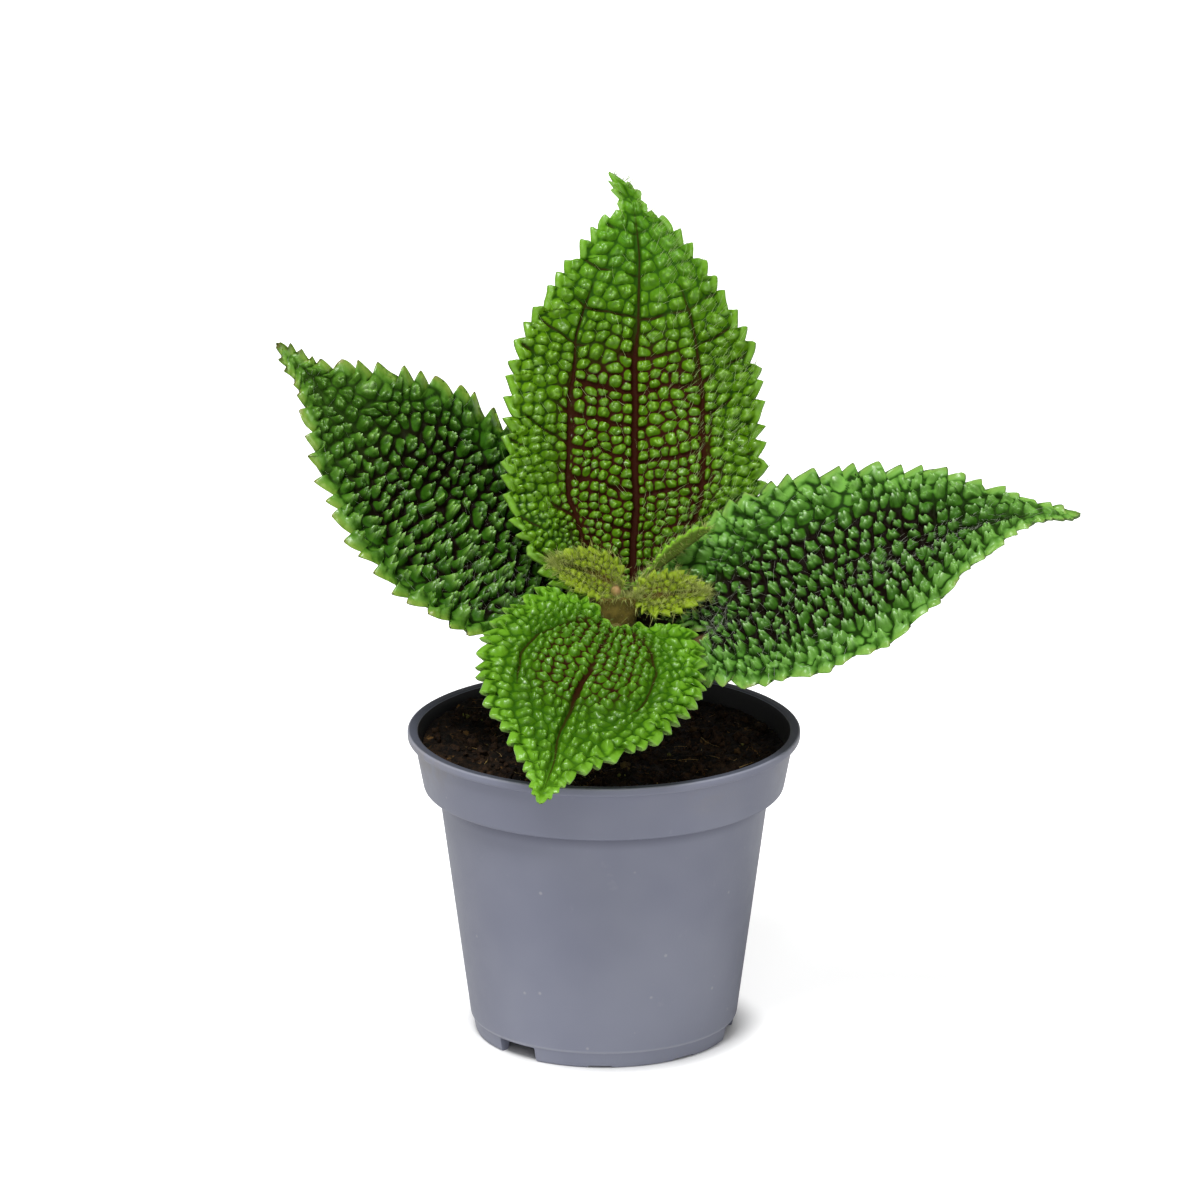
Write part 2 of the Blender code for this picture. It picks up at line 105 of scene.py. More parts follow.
# %% [markdown]
# ## Sums in a material
# A material's pattern is a sum on sockets. Written node by node it is long and hard to read, so a small
# class wraps a socket, and Python's own signs add the Math nodes. A second class makes a finish: it sets
# what is the same all over on the shader itself, and adds any other node from its type, its settings and
# what goes into its sockets.

# %% Signals and finishes
class Signal:
    """One number that varies over a surface."""

    def __init__(self, finish, socket):
        self.finish, self.socket = finish, socket

    def math(self, operation, *values):
        return self.finish.node("ShaderNodeMath", {"operation": operation}, dict(enumerate(values)))

    def __add__(self, other):
        return self.math("ADD", self, other)

    def __sub__(self, other):
        return self.math("SUBTRACT", self, other)

    def __rsub__(self, other):
        return self.math("SUBTRACT", other, self)

    def __mul__(self, other):
        return self.math("MULTIPLY", self, other)

    __radd__, __rmul__ = __add__, __mul__

    def rise(self, start, end):
        """0 up to start, 1 from end on, and smooth between them."""
        settings = {"interpolation_type": "SMOOTHSTEP"}
        return self.finish.node("ShaderNodeMapRange", settings, {0: self, 1: start, 2: end})


class Finish:
    """A material with one Principled shader. Values named on making are the same all over."""

    def __init__(self, name, **same):
        self.material = bpy.data.materials.new(name)
        self.material.use_nodes = True
        self.tree = self.material.node_tree
        self.shader = self.tree.nodes["Principled BSDF"]
        for socket, value in same.items():
            self.shader.inputs[socket.replace("_", " ")].default_value = value

    def put(self, socket, value):
        if isinstance(value, Signal):
            self.tree.links.new(value.socket, socket)
        elif isinstance(value, tuple) and len(value) == 3 and len(socket.default_value) == 4:
            socket.default_value = (*value, 1.0)
        else:
            socket.default_value = value

    def node(self, kind, settings=None, inputs=None, output=0):
        made = self.tree.nodes.new(kind)
        for key, value in (settings or {}).items():
            setattr(made, key, value)
        for key, value in (inputs or {}).items():
            self.put(made.inputs[key], value)
        return Signal(self, made.outputs[output])

    def mix(self, share, first, second, blend="MIX"):
        """A colour between two others."""
        settings = {"data_type": "RGBA", "blend_type": blend}
        return self.node("ShaderNodeMix", settings, {0: share, 6: first, 7: second}, output=2)

    def place(self):
        return self.node("ShaderNodeTexCoord", output="Object")

    def noise(self, scale, detail=2.0, roughness=0.5):
        """A cloudy pattern from 0 to 1; scale is in patches to a metre."""
        inputs = {"Vector": self.place(), "Scale": scale, "Detail": detail, "Roughness": roughness}
        return self.node("ShaderNodeTexNoise", {}, inputs)

    def speckle(self, scale, output="Distance"):
        """Cells of one colour each, or the distance from their middles."""
        inputs = {"Vector": self.place(), "Scale": scale}
        return self.node("ShaderNodeTexVoronoi", {}, inputs, output=output)

    def painted(self, name):
        """The four numbers that a mesh carries under a name."""
        settings = {"attribute_type": "GEOMETRY", "attribute_name": name}
        colour = self.node("ShaderNodeAttribute", settings, output="Color")
        alpha = Signal(self, colour.socket.node.outputs["Alpha"])
        split = self.node("ShaderNodeSeparateColor", {}, {0: colour})
        return [Signal(self, split.socket.node.outputs[i]) for i in range(3)] + [alpha]

    def first_of(self, colour):
        """The red part of a colour, as one number."""
        return self.node("ShaderNodeSeparateColor", {}, {0: colour})

    def layered(self, colour, *layers):
        """A colour with others laid over it: each layer is a mask, how much of it shows, and a colour."""
        for mask, most, over in layers:
            colour = self.mix(mask * most, colour, srgb(*over))
        return colour

    def bump(self, height, strength, distance):
        inputs = {"Height": height, "Strength": strength, "Distance": distance}
        return self.node("ShaderNodeBump", {}, inputs, output="Normal")

    def surface(self, **inputs):
        for key, value in inputs.items():
            self.put(self.shader.inputs[key.replace("_", " ")], value)
        return self.material


def srgb(red, green, blue):
    """A colour as it is written on screens, from 0 to 255, made linear."""
    levels = [value / 255 for value in (red, green, blue)]
    return tuple(v / 12.92 if v <= 0.04045 else ((v + 0.055) / 1.055) ** 2.4 for v in levels)


# %% Floor
def primitive(kind, **settings):
    """One of Blender's own shapes, added with nothing else selected."""
    bpy.ops.object.select_all(action="DESELECT")
    getattr(bpy.ops.mesh, f"primitive_{kind}_add")(**settings)
    return bpy.context.object


FLOOR_LIFT = 0.73  # white added for the camera
# No white is added under the pot, and it fades in over a ring round the foot: a painted shade on the floor.
FOOT_SHADE_INNER, FOOT_SHADE_OUTER = 0.0185, 0.0262  # from the middle of the pot's foot
paper = Finish("paper_floor", Base_Color=(0.86, 0.86, 0.86, 1.0), Roughness=0.9)
seen = paper.node("ShaderNodeLightPath", output="Is Camera Ray")
paper.shader.inputs["Emission Color"].default_value = (1.0, 1.0, 1.0, 1.0)
away = paper.node("ShaderNodeVectorMath", {"operation": "LENGTH"}, {0: paper.place()}, output="Value")
# the added white, held back near the pot's foot as a painted shade
lift = seen * away.rise(FOOT_SHADE_INNER, FOOT_SHADE_OUTER) * FLOOR_LIFT
paper.put(paper.shader.inputs["Emission Strength"], lift)
floor = primitive("circle", vertices=96, radius=9.0, fill_type="NGON", location=(0, 0, -0.00005))
floor.name = "floor"
floor.data.materials.append(paper.material)


# %% [markdown]
# ## Sheets
# A leaf, a stalk and a bud are all skins that close on themselves. Each starts here as one flat grid. Its
# columns are wrapped round the piece and its rows run along it, and then the edges that meet are merged,
# so the skin is closed. Before the grid leaves its square it is given a UV map, in which no two faces
# overlap, so that a pattern can be baked onto it.

# %% Grid, seams and attributes
def flat_grid(name, columns, rows):
    """A square grid; returns it with each vertex's share of the way across and along."""
    piece = primitive("grid", x_subdivisions=columns, y_subdivisions=rows, size=2.0, calc_uvs=False)
    piece.name = piece.data.name = name
    mesh = piece.data
    places = np.empty(len(mesh.vertices) * 3)
    mesh.vertices.foreach_get("co", places)
    shares = (places.reshape(-1, 3)[:, :2] + 1) / 2
    corners = np.empty(len(mesh.loops), int)
    mesh.loops.foreach_get("vertex_index", corners)
    layer = mesh.uv_layers.new(name="OFBake")
    layer.data.foreach_set("uv", shares[corners].ravel())
    return piece, shares[:, 0], shares[:, 1]


def put_places(piece, places):
    """Moves the vertices to places in millimetres."""
    piece.data.vertices.foreach_set("co", (np.asarray(places) * MM).ravel())
    piece.data.update()


def paint(piece, name, columns):
    """Four numbers for each vertex, which a material reads by name."""
    values = np.stack([np.broadcast_to(c, len(piece.data.vertices)) for c in columns], axis=1)
    layer = piece.data.attributes.new(name, "FLOAT_COLOR", "POINT")
    layer.data.foreach_set("color", values.astype(np.float32).ravel())


def only(piece):
    """Selects this piece alone, so that the next operator acts on nothing else."""
    bpy.ops.object.select_all(action="DESELECT")
    piece.select_set(True)
    bpy.context.view_layer.objects.active = piece


SAME_PLACE = 1e-7  # metres


def close_seams(piece):
    """Merges the vertices that lie on each other where a skin's edges meet."""
    only(piece)
    bpy.ops.object.mode_set(mode="EDIT")
    bpy.ops.mesh.select_all(action="SELECT")
    bpy.ops.mesh.remove_doubles(threshold=SAME_PLACE)
    bpy.ops.object.mode_set(mode="OBJECT")


def dressed(piece, finish, slot, *nodes, angle=None):
    """The closing steps of every piece: smooth faces, a material, the body, the CAD nodes. The slot is not
    used.
    """
    if angle is None:
        piece.data.shade_smooth()
    else:
        only(piece)
        bpy.ops.object.shade_smooth_by_angle(angle=math.radians(angle))
    piece.data.materials.clear()
    piece.data.materials.append(finish)
    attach(piece, "root")
    if nodes:
        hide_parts(*nodes)
    piece.data.calc_loop_triangles()
    print(piece.name, len(piece.data.loop_triangles), "triangles")
    return piece


# %% [markdown]
# ## The leaves' shapes
# A leaf is laid out flat first. Half an outline runs from the notch at the stalk, round the lobe and along
# the tips of the teeth to the drip tip. The flat leaf is then bent: its midrib rises, turns and rolls, and
# each half tilts up from it and curls down again. These numbers are the CAD model's own, so each skin
# lies where its solid does.

# %% Outlines and leaves
FULL_SIDE = (  # the middle stretch that two outlines share
    (0.35, 0.25), (0.36, 0.34), (0.346, 0.44), (0.315, 0.53), (0.27, 0.615), (0.216, 0.70), (0.16, 0.77),
    (0.105, 0.83),
)
OUTLINES = {
    "standing": (
        (0.0, 0.0), (0.04, -0.035), (0.12, -0.055), (0.195, -0.025), (0.25, 0.045), (0.30, 0.125),
        (0.325, 0.24), (0.322, 0.36), (0.316, 0.48), (0.298, 0.57), (0.262, 0.64), (0.218, 0.71),
        (0.172, 0.78), (0.122, 0.845), (0.085, 0.885), (0.042, 0.906), (0.036, 0.93), (0.033, 0.965),
        (0.0, 1.0),
    ),
    "spread": (
        (0.0, 0.0), (0.04, -0.05), (0.125, -0.08), (0.21, -0.045), (0.27, 0.05), (0.315, 0.15),
        *FULL_SIDE, (0.064, 0.872), (0.044, 0.905), (0.036, 0.94), (0.025, 0.97), (0.0, 1.0),
    ),
    "lobed": (
        (0.0, 0.0), (0.03, -0.07), (0.10, -0.125), (0.19, -0.10), (0.265, 0.01), (0.315, 0.13),
        *FULL_SIDE, (0.066, 0.872), (0.04, 0.905), (0.034, 0.94), (0.028, 0.97), (0.0, 1.0),
    ),
    "heart": (
        (0.0, 0.0), (0.04, -0.04), (0.09, -0.08), (0.16, -0.108), (0.245, -0.10), (0.31, -0.035),
        (0.35, 0.08), (0.383, 0.215), (0.382, 0.335), (0.362, 0.43), (0.332, 0.53), (0.285, 0.62),
        (0.232, 0.69), (0.175, 0.76), (0.122, 0.825), (0.08, 0.88), (0.058, 0.915), (0.044, 0.95),
        (0.025, 0.98), (0.0, 1.0),
    ),
    "young": (
        (0.0, 0.0), (0.10, 0.02), (0.22, 0.08), (0.31, 0.20), (0.34, 0.38), (0.32, 0.58),
        (0.25, 0.76), (0.15, 0.90), (0.0, 1.0),
    ),
    "folded": (
        (0.0, 0.0), (0.055, 0.10), (0.09, 0.25), (0.15, 0.42), (0.19, 0.60), (0.18, 0.78),
        (0.13, 0.92), (0.0, 1.0),
    ),
}


def between(ends, share):
    """A value on the way from the first of two ends to the second."""
    return ends[0] + (ends[1] - ends[0]) * share


@dataclass
class Leaf:
    """A blade on a bent midrib. Angles are in degrees, lengths in millimetres."""

    name: str
    outline: str
    base: tuple  # where the stalk meets the blade
    heading: float  # of the midrib from +X, seen from above
    rise: tuple  # of the midrib above the horizontal, at the stalk and at the tip
    roll: tuple  # of the blade about its midrib
    length: float
    slot: str = "leaf_young"
    sweep: float = 0.0  # how far the heading turns along the midrib
    width: tuple = (1.0, 1.0)  # of the left and of the right half, against the outline
    fold: float = 0.0  # each half's tilt up from the midrib
    dome: float = 0.0  # how far a half curls down again over DOME_SPAN
    bow: tuple = ((0.0, 0.0), (1.0, 0.0))  # sideways shift of the midrib along its length
    skew: float = 0.0  # how much further along the right half is fullest
    slim: tuple = (0.0, 0.0)  # how much narrower each half is before its tip
    blunt: tuple = (0.0, 0.0)  # how much lower the teeth of each half are
    # the quilt
    seed: int = 1
    teeth: float = 3.1  # pitch
    tooth: float = 1.5  # depth
    pitch: tuple = (1.5, 2.2)  # of the bumps, at the stalk and at the tip
    broad: float = 1.2  # how much wider than long a bump is
    coarse: float = 0.5  # how much the bumps grow towards the edge
    valley: float = 0.15  # width of the valleys, as a share of the pitch
    hidden: float = 0.0  # share of the length on which bumps hide the midrib
    height: float = 0.8  # of the bumps
    lower: float = 0.0  # how much lower they are at the tip, as a share
    domed: float = 0.5  # from a flat top to a fully round one
    lobes: int = 3  # points of a bump
    fine: float = 0.2  # size of those points, as a share of the pitch
    peak: float = 0.45  # height of those points, as a share of the bump's
    lean: float = 0.15  # how far a bump leans towards the tip, as a share of its height
    furrow: float = 0.0  # extra depth between rows of bumps
    warp: float = 0.55  # how far rows and veins wander
    panel: float = 4.6  # length of leaf between two cross veins
    crossing: float = 1.0  # how plain the cross veins are
    sides: float = 1.0  # how plain the side veins are
    side_end: tuple = (0.62, 0.82)  # shares along between which they fade
    pad: float = 2.2  # depth of the smooth zone along the teeth
    lateral: tuple = ((0.0, 0.0), (0.1, 0.126), (0.2, 0.16), (0.45, 0.16), (0.6, 0.14), (0.7, 0.115),
                      (0.78, 0.085), (0.85, 0.05), (0.93, 0.0))  # side vein: share along, share across
    vein: float = 0.26  # half width of the midrib's groove at the stalk
    thickness: float = 0.75
    columns: tuple = (84, 36)  # of a half's upper and lower skin
    rows: int = 350


DOME_SPAN = 20.0
SMALL = {"panel": 9.0, "crossing": 0.1, "sides": 0.0, "vein": 0.1, "thickness": 0.6}  # on all small ones
LEAVES = {
    leaf.name: leaf
    for leaf in (
        Leaf(
            "leaf_back", "standing", (4.5, 6.6, 69.0), 89, (64, 66), (8, 2), 64.0, "leaf_bright",
            width=(1.0, 0.97), fold=9, dome=4, seed=3, teeth=3.1, tooth=1.8, pitch=(1.2, 2.4), coarse=0.2,
            height=1.0, lobes=4, peak=0.55, valley=0.12, pad=1.7,
            bow=((0.0, 0.0), (0.4, 0.0015), (0.72, 0.003), (0.8, 0.003), (0.89, -0.003), (0.93, -0.013),
                 (0.965, -0.033), (1.0, -0.067)),
        ),
        Leaf(
            "leaf_front", "heart", (1.5, -8.1, 66.9), -108, (-11, -25), (-15, -14), 46.0, "leaf_bright",
            sweep=7, width=(1.0, 0.96), fold=7.5, dome=13, seed=5, teeth=2.9, tooth=1.9,
            pitch=(1.45, 2.2), broad=1.0, height=1.08, crossing=0.1, warp=0.8, panel=3.6, rows=240,
            pad=2.2, vein=0.2, hidden=0.38, sides=1.0, side_end=(0.4, 0.56),
            lateral=((0.0, 0.0), (0.04, 0.09), (0.1, 0.155), (0.2, 0.2), (0.32, 0.215), (0.45, 0.205),
                     (0.6, 0.165), (0.75, 0.11), (0.9, 0.03)),
        ),
        Leaf(
            "leaf_left", "spread", (-7.0, 5.8, 62.2), 168, (42, 48), (-10, -59), 61.3, "leaf_dark",
            sweep=5.5, width=(0.96, 0.96), fold=8.5, skew=0.03, seed=7, teeth=3.5, tooth=2.4,
            pitch=(2.4, 2.2), broad=1.0, height=2.3, lower=0.5, lobes=5, fine=0.15, peak=0.6, domed=0.85,
            lean=0.12, furrow=0.3, crossing=0.05, sides=0.05, warp=1.1, pad=3.2, vein=0.1, hidden=1.3,
        ),
        Leaf(
            "leaf_right", "lobed", (16.0, -5.0, 65.4), -13, (29, 13), (42, 23), 60.0, "leaf_dark",
            sweep=13, width=(1.02, 0.86), slim=(-0.08, 0.3), fold=8, skew=0.08, seed=11, teeth=3.4, tooth=2.2,
            bow=((0.0, 0.0), (0.2, 0.026), (0.5, 0.013), (0.7, -0.02), (0.85, -0.028), (1.0, 0.03)),
            pitch=(2.1, 2.3), broad=1.0, height=2.1, lower=0.35, lobes=5, fine=0.15, peak=0.62, domed=0.8,
            lean=0.08, furrow=0.3, blunt=(0.0, 0.5), crossing=0.05, sides=0.1, warp=0.9, pad=3.0, vein=0.22,
            hidden=0.3,
        ),
        Leaf(
            "young_leaf_left", "young", (2.9, -1.2, 70.6), 176, (28, 12), (-56, -50), 12.0,
            width=(1.0, 1.05), fold=14, dome=30, seed=13, teeth=1.9, tooth=0.85, pitch=(0.9, 1.1),
            height=0.2, pad=1.3, columns=(34, 14), rows=110, **SMALL,
        ),
        Leaf(
            "young_leaf_right", "young", (4.3, -2.3, 69.6), -5, (12, 0), (52, 44), 12.0,
            width=(0.95, 1.1), fold=14, dome=30, seed=17, teeth=2.2, tooth=1.2, pitch=(0.9, 1.1),
            height=0.2, pad=1.5, columns=(34, 14), rows=110, **SMALL,
        ),
        Leaf(
            "axillary_leaf", "folded", (4.2, 1.5, 70.2), 1, (40, 38), (-26, -26), 15.0,
            fold=24, seed=19, teeth=1.5, tooth=0.6, pitch=(0.9, 1.0),
            height=0.25, pad=1.0, columns=(20, 10), rows=100, **SMALL,
        ),
        # a small leaf right of the stem, behind the young right leaf, coloured very dark as painted shade
        Leaf(
            "inner_leaf", "young", (3.4, 0.2, 65.0), -12, (0, -8), (62, 60), 14.0,
            width=(1.0, 1.2), fold=8, dome=10, seed=29, teeth=1.9, tooth=0.9, pitch=(1.2, 1.4),
            height=0.8, pad=1.5, columns=(22, 8), rows=66, **SMALL,
        ),
    )
}
print(len(LEAVES), "leaves")


# %% [markdown]
# ## From the flat leaf to its place
# Two steps take a point to its place. The first finds the toothed edge: the teeth are cut into the outline,
# each with a long curved back and a short steep front, and they lean towards the tip. The second bends the
# flat leaf, and lifts a point off it along the skin's own outward direction.

# %% Curves
def smooth_line(points, per_span=12):
    """Points on a Catmull-Rom curve through the given ones."""
    given = np.array(points, float)
    ends = np.vstack([2 * given[0] - given[1], given, 2 * given[-1] - given[-2]])
    t = np.linspace(0, 1, per_span, endpoint=False)[:, None]
    runs = []
    for a, b, c, d in zip(ends, ends[1:], ends[2:], ends[3:], strict=False):
        cubic = 2 * b + (c - a) * t + (2 * a - 5 * b + 4 * c - d) * t**2 + (3 * b - a - 3 * c + d) * t**3
        runs.append(0.5 * cubic)
    return np.vstack([*runs, given[-1:]])


def run_of(line):
    """Distance along a line at each of its points."""
    return np.concatenate([[0.0], np.cumsum(np.linalg.norm(np.diff(line, axis=0), axis=1))])


def at(values, where, known):
    """Rows of values read between known places."""
    return np.stack([np.interp(where, known, values[:, k]) for k in range(values.shape[1])], axis=-1)


def ease(value, start, end):
    """0 up to start, 1 from end on, smooth between them."""
    share = np.clip((value - start) / (end - start), 0, 1)
    return share * share * (3 - 2 * share)


# %% Bending a leaf
class Blade:
    """The bent surface of a leaf."""

    def __init__(self, leaf):
        self.leaf = leaf
        self.run = np.linspace(-0.2, 1.0, 241) * leaf.length
        share = np.clip(self.run / leaf.length, 0, 1)
        pitch = np.radians(between(leaf.rise, share))
        heading = np.radians(leaf.heading + leaf.sweep * share)
        roll = np.radians(between(leaf.roll, share))[:, None]
        self.ahead = np.stack(
            [np.cos(pitch) * np.cos(heading), np.cos(pitch) * np.sin(heading), np.sin(pitch)], axis=1
        )
        level = np.stack([np.sin(heading), -np.cos(heading), 0 * heading], axis=1)
        above = np.cross(level, self.ahead)
        self.side = level * np.cos(roll) - above * np.sin(roll)
        self.normal = above * np.cos(roll) + level * np.sin(roll)
        step = self.run[1] - self.run[0]
        line = np.vstack([np.zeros(3), np.cumsum((self.ahead[1:] + self.ahead[:-1]) / 2 * step, axis=0)])
        start = np.argmin(np.abs(self.run))
        self.midrib = line - line[start] + np.array(leaf.base)
        self.bow = smooth_line(leaf.bow)

    def places(self, x, y, lift, lean=0.0):
        """Where points x across and y along the flat leaf lie, lifted off it and leaned to its tip."""
        leaf = self.leaf
        x = x + np.interp(y / leaf.length, self.bow[:, 0], self.bow[:, 1]) * leaf.length
        tilt, curl = math.radians(leaf.fold), math.radians(leaf.dome) / DOME_SPAN
        reach, slope = np.abs(x), tilt - curl * np.abs(x)
        if curl:
            across = (math.sin(tilt) - np.sin(slope)) / curl
            up = (np.cos(slope) - math.cos(tilt)) / curl
        else:
            across, up = reach * math.cos(tilt), reach * math.sin(tilt)
        hand = np.sign(x)[:, None]
        side, normal = at(self.side, y, self.run), at(self.normal, y, self.run)
        slope = slope[:, None]
        out = normal * np.cos(slope) - side * hand * np.sin(slope)
        flat = at(self.midrib, y, self.run) + side * hand * across[:, None] + normal * up[:, None]
        return flat + out * lift[:, None] + at(self.ahead, y, self.run) * np.reshape(lean, (-1, 1))


# %% The toothed edge
def edge_rows(leaf, rng, hand):
    """For each row of one half: its foot on the midrib, its edge with and without teeth, and its tooth."""
    line = smooth_line(OUTLINES[leaf.outline]) * leaf.length
    along = line[:, 1] / leaf.length
    slimmer = leaf.slim[hand] * ease(along, 0.4, 0.75) * (1 - ease(along, 0.86, 0.95))
    line[:, 0] *= leaf.width[hand] * (1 - slimmer)
    run = run_of(line)
    shares = np.linspace(0.0, 1.0, leaf.rows + 1)
    where = shares * run[-1]
    outer = at(line, where, run)
    nudge = 0.01 * run[-1]
    direction = at(line, where + nudge, run) - at(line, where - nudge, run)
    direction /= np.linalg.norm(direction, axis=1, keepdims=True)
    inward = np.stack([-direction[:, 1], direction[:, 0]], axis=1)

    tip = ease(shares, 0.86, 0.93)  # smaller teeth on the drip tip
    small = 1 - 0.45 * tip
    turn = np.concatenate([[0.0], np.cumsum(np.diff(where) / (leaf.teeth * small[1:]))])
    teeth = round(turn[-1])
    turn *= teeth / turn[-1]
    sway = 0.14 * np.sin(turn * 2.3 + rng.uniform(0, 6)) + 0.08 * np.sin(turn * 5.1)
    turn = np.clip(turn + sway * ease(teeth - turn, 0, 3), 0, teeth)
    tooth, phase = np.floor(turn), turn % 1.0
    vary = rng.uniform(0.75, 1.2, teeth + 2)[tooth.astype(int)]
    depth = leaf.tooth * vary * (1 - leaf.blunt[hand] * ease(shares, 0.15, 0.4)) * (1 - 0.62 * tip)
    depth *= ease(shares, 0.0, 0.06)
    depth *= ease(1 - shares, 0.0, 0.012)
    top = 0.64  # share of a tooth's length at which it is highest
    climb = np.clip(phase / top, 0, 1)
    back = 0.5 * np.sin(np.pi / 2 * climb) + 0.5 * climb
    front = np.clip((1 - phase) / (1 - top), 0, 1) ** 0.95
    shape = np.where(phase < top, back, front)
    bottom = outer + inward * depth[:, None]
    toothed = outer + inward * (depth * (1 - shape) - 0.12 * depth)[:, None]
    toothed += direction * (depth * 0.5 * (shape - 0.5))[:, None]
    feet = leaf.length * shares**1.1
    pad = np.sin(np.pi * np.clip(phase / 0.94, 0, 1)) ** 0.7
    return feet, bottom, toothed, phase, pad, turn


# %% [markdown]
# ## The quilt
# Between its veins this leaf bulges into hundreds of small cushions. They stand in rows that lean up and
# out from the midrib, every third row ends at a cross vein, and two side veins run from the stalk to the
# tip. A texture could draw this, but the bulges make the leaf's light and its outline, so they are real
# shape: each vertex asks how far it is from the border of its own cushion, and rises by that.

# %% Where the cushions are
INNER_SLOPE, OUTER_SLOPE = 0.2, 0.62  # of a row of cushions, inside and outside the side vein
CROSS_VEIN = 0.28  # width


def slant(reach, lateral):
    """How far a row of cushions has climbed at a distance from the midrib."""
    return INNER_SLOPE * np.minimum(reach, lateral) + OUTER_SLOPE * np.maximum(reach - lateral, 0)


def lateral_at(leaf, y):
    """The side vein's distance from the midrib."""
    along, across = np.array(leaf.lateral).T
    return np.interp(y / leaf.length, along, across) * leaf.length


def cushions(leaf, rng):
    """Centres of the cushions of both halves, and the heights of the cross veins and of the rows."""
    centres, crossings, rows = [], ([], []), ([], [])
    for hand in (0, 1):
        sign = 1 if hand else -1  # the right half has positive x
        level = -0.3 * leaf.length + rng.uniform(0, 1.5)
        since = 0.0
        while level < 0.99 * leaf.length:
            share = np.clip(level / leaf.length, 0, 1)
            pitch = between(leaf.pitch, share)
            step = pitch * rng.uniform(0.92, 1.1)
            middle = level + step / 2
            lateral = float(lateral_at(leaf, middle + INNER_SLOPE * 0.16 * leaf.length))
            wide = pitch * leaf.broad
            inner = max(1, round(lateral / wide)) if lateral > 0.4 * wide else 0
            xs = [(j + 0.5) / inner * lateral for j in range(inner)]
            x = lateral + 0.5 * wide
            while x < 0.42 * leaf.length:
                if len(rows[hand]) % 4 or x < lateral + 1.5 * wide or leaf.coarse < 0.3:
                    xs.append(x)
                x += wide * rng.uniform(0.95, 1.15) * (1 + leaf.coarse * (x - lateral) / leaf.length)
            for x in xs:
                x += rng.normal(0, 0.15) * wide
                y = middle + float(slant(x, lateral)) + rng.normal(0, 0.15) * pitch
                centres.append((sign * x, y))
            rows[hand].append(level)
            level += step
            since += step
            if since > leaf.panel:
                crossings[hand].append(level + CROSS_VEIN / 2)
                level += CROSS_VEIN
                since = 0.0
    return np.array(centres), crossings, rows


def nearest_line(lines, value):
    """Distance from each value to the nearest of some sorted numbers."""
    lines = np.array(lines)
    after = np.clip(np.searchsorted(lines, value), 1, len(lines) - 1)
    return np.minimum(np.abs(value - lines[after - 1]), np.abs(value - lines[after]))


def cells(centres, x, y, pitch, sharp):
    """For each point: its cushion, the distance to its middle, and a round rise from its border."""
    tree = kdtree.KDTree(len(centres))
    for index, (cx, cy) in enumerate(centres):
        tree.insert((cx, cy, 0.0), index)
    tree.balance()
    points = zip(x.tolist(), y.tolist(), strict=True)
    found = np.array([[hit[1] for hit in tree.find_n((px, py, 0.0), 6)] for px, py in points])
    here = np.stack([x, y], axis=1)[:, None]
    near = centres[found]
    far = ((near - here) ** 2).sum(axis=2)
    apart = np.sqrt(((near[:, 1:] - near[:, :1]) ** 2).sum(axis=2)) + 1e-6
    border = (far[:, 1:] - far[:, :1]) / (2 * apart)
    rise = np.prod(1 - np.exp(-border / (sharp * pitch)[:, None]), axis=1)
    return found[:, 0], np.sqrt(far[:, 0]), np.clip(rise * 1.05, 0, 1)


# %% Relief of the upper skin
noise.seed_set(5)  # without this, noise_vector differs from run to run


def bell(gap, width):
    """1 at no distance, falling off over a width."""
    return np.exp(-((gap / width) ** 2))


def wander(x, y, size, seed):
    """Two smooth wobbles that make rows and veins irregular, in millimetres."""
    found = [noise.noise_vector((px / size, py / size, seed)) for px, py in zip(x, y, strict=True)]
    return np.array(found)[:, :2]


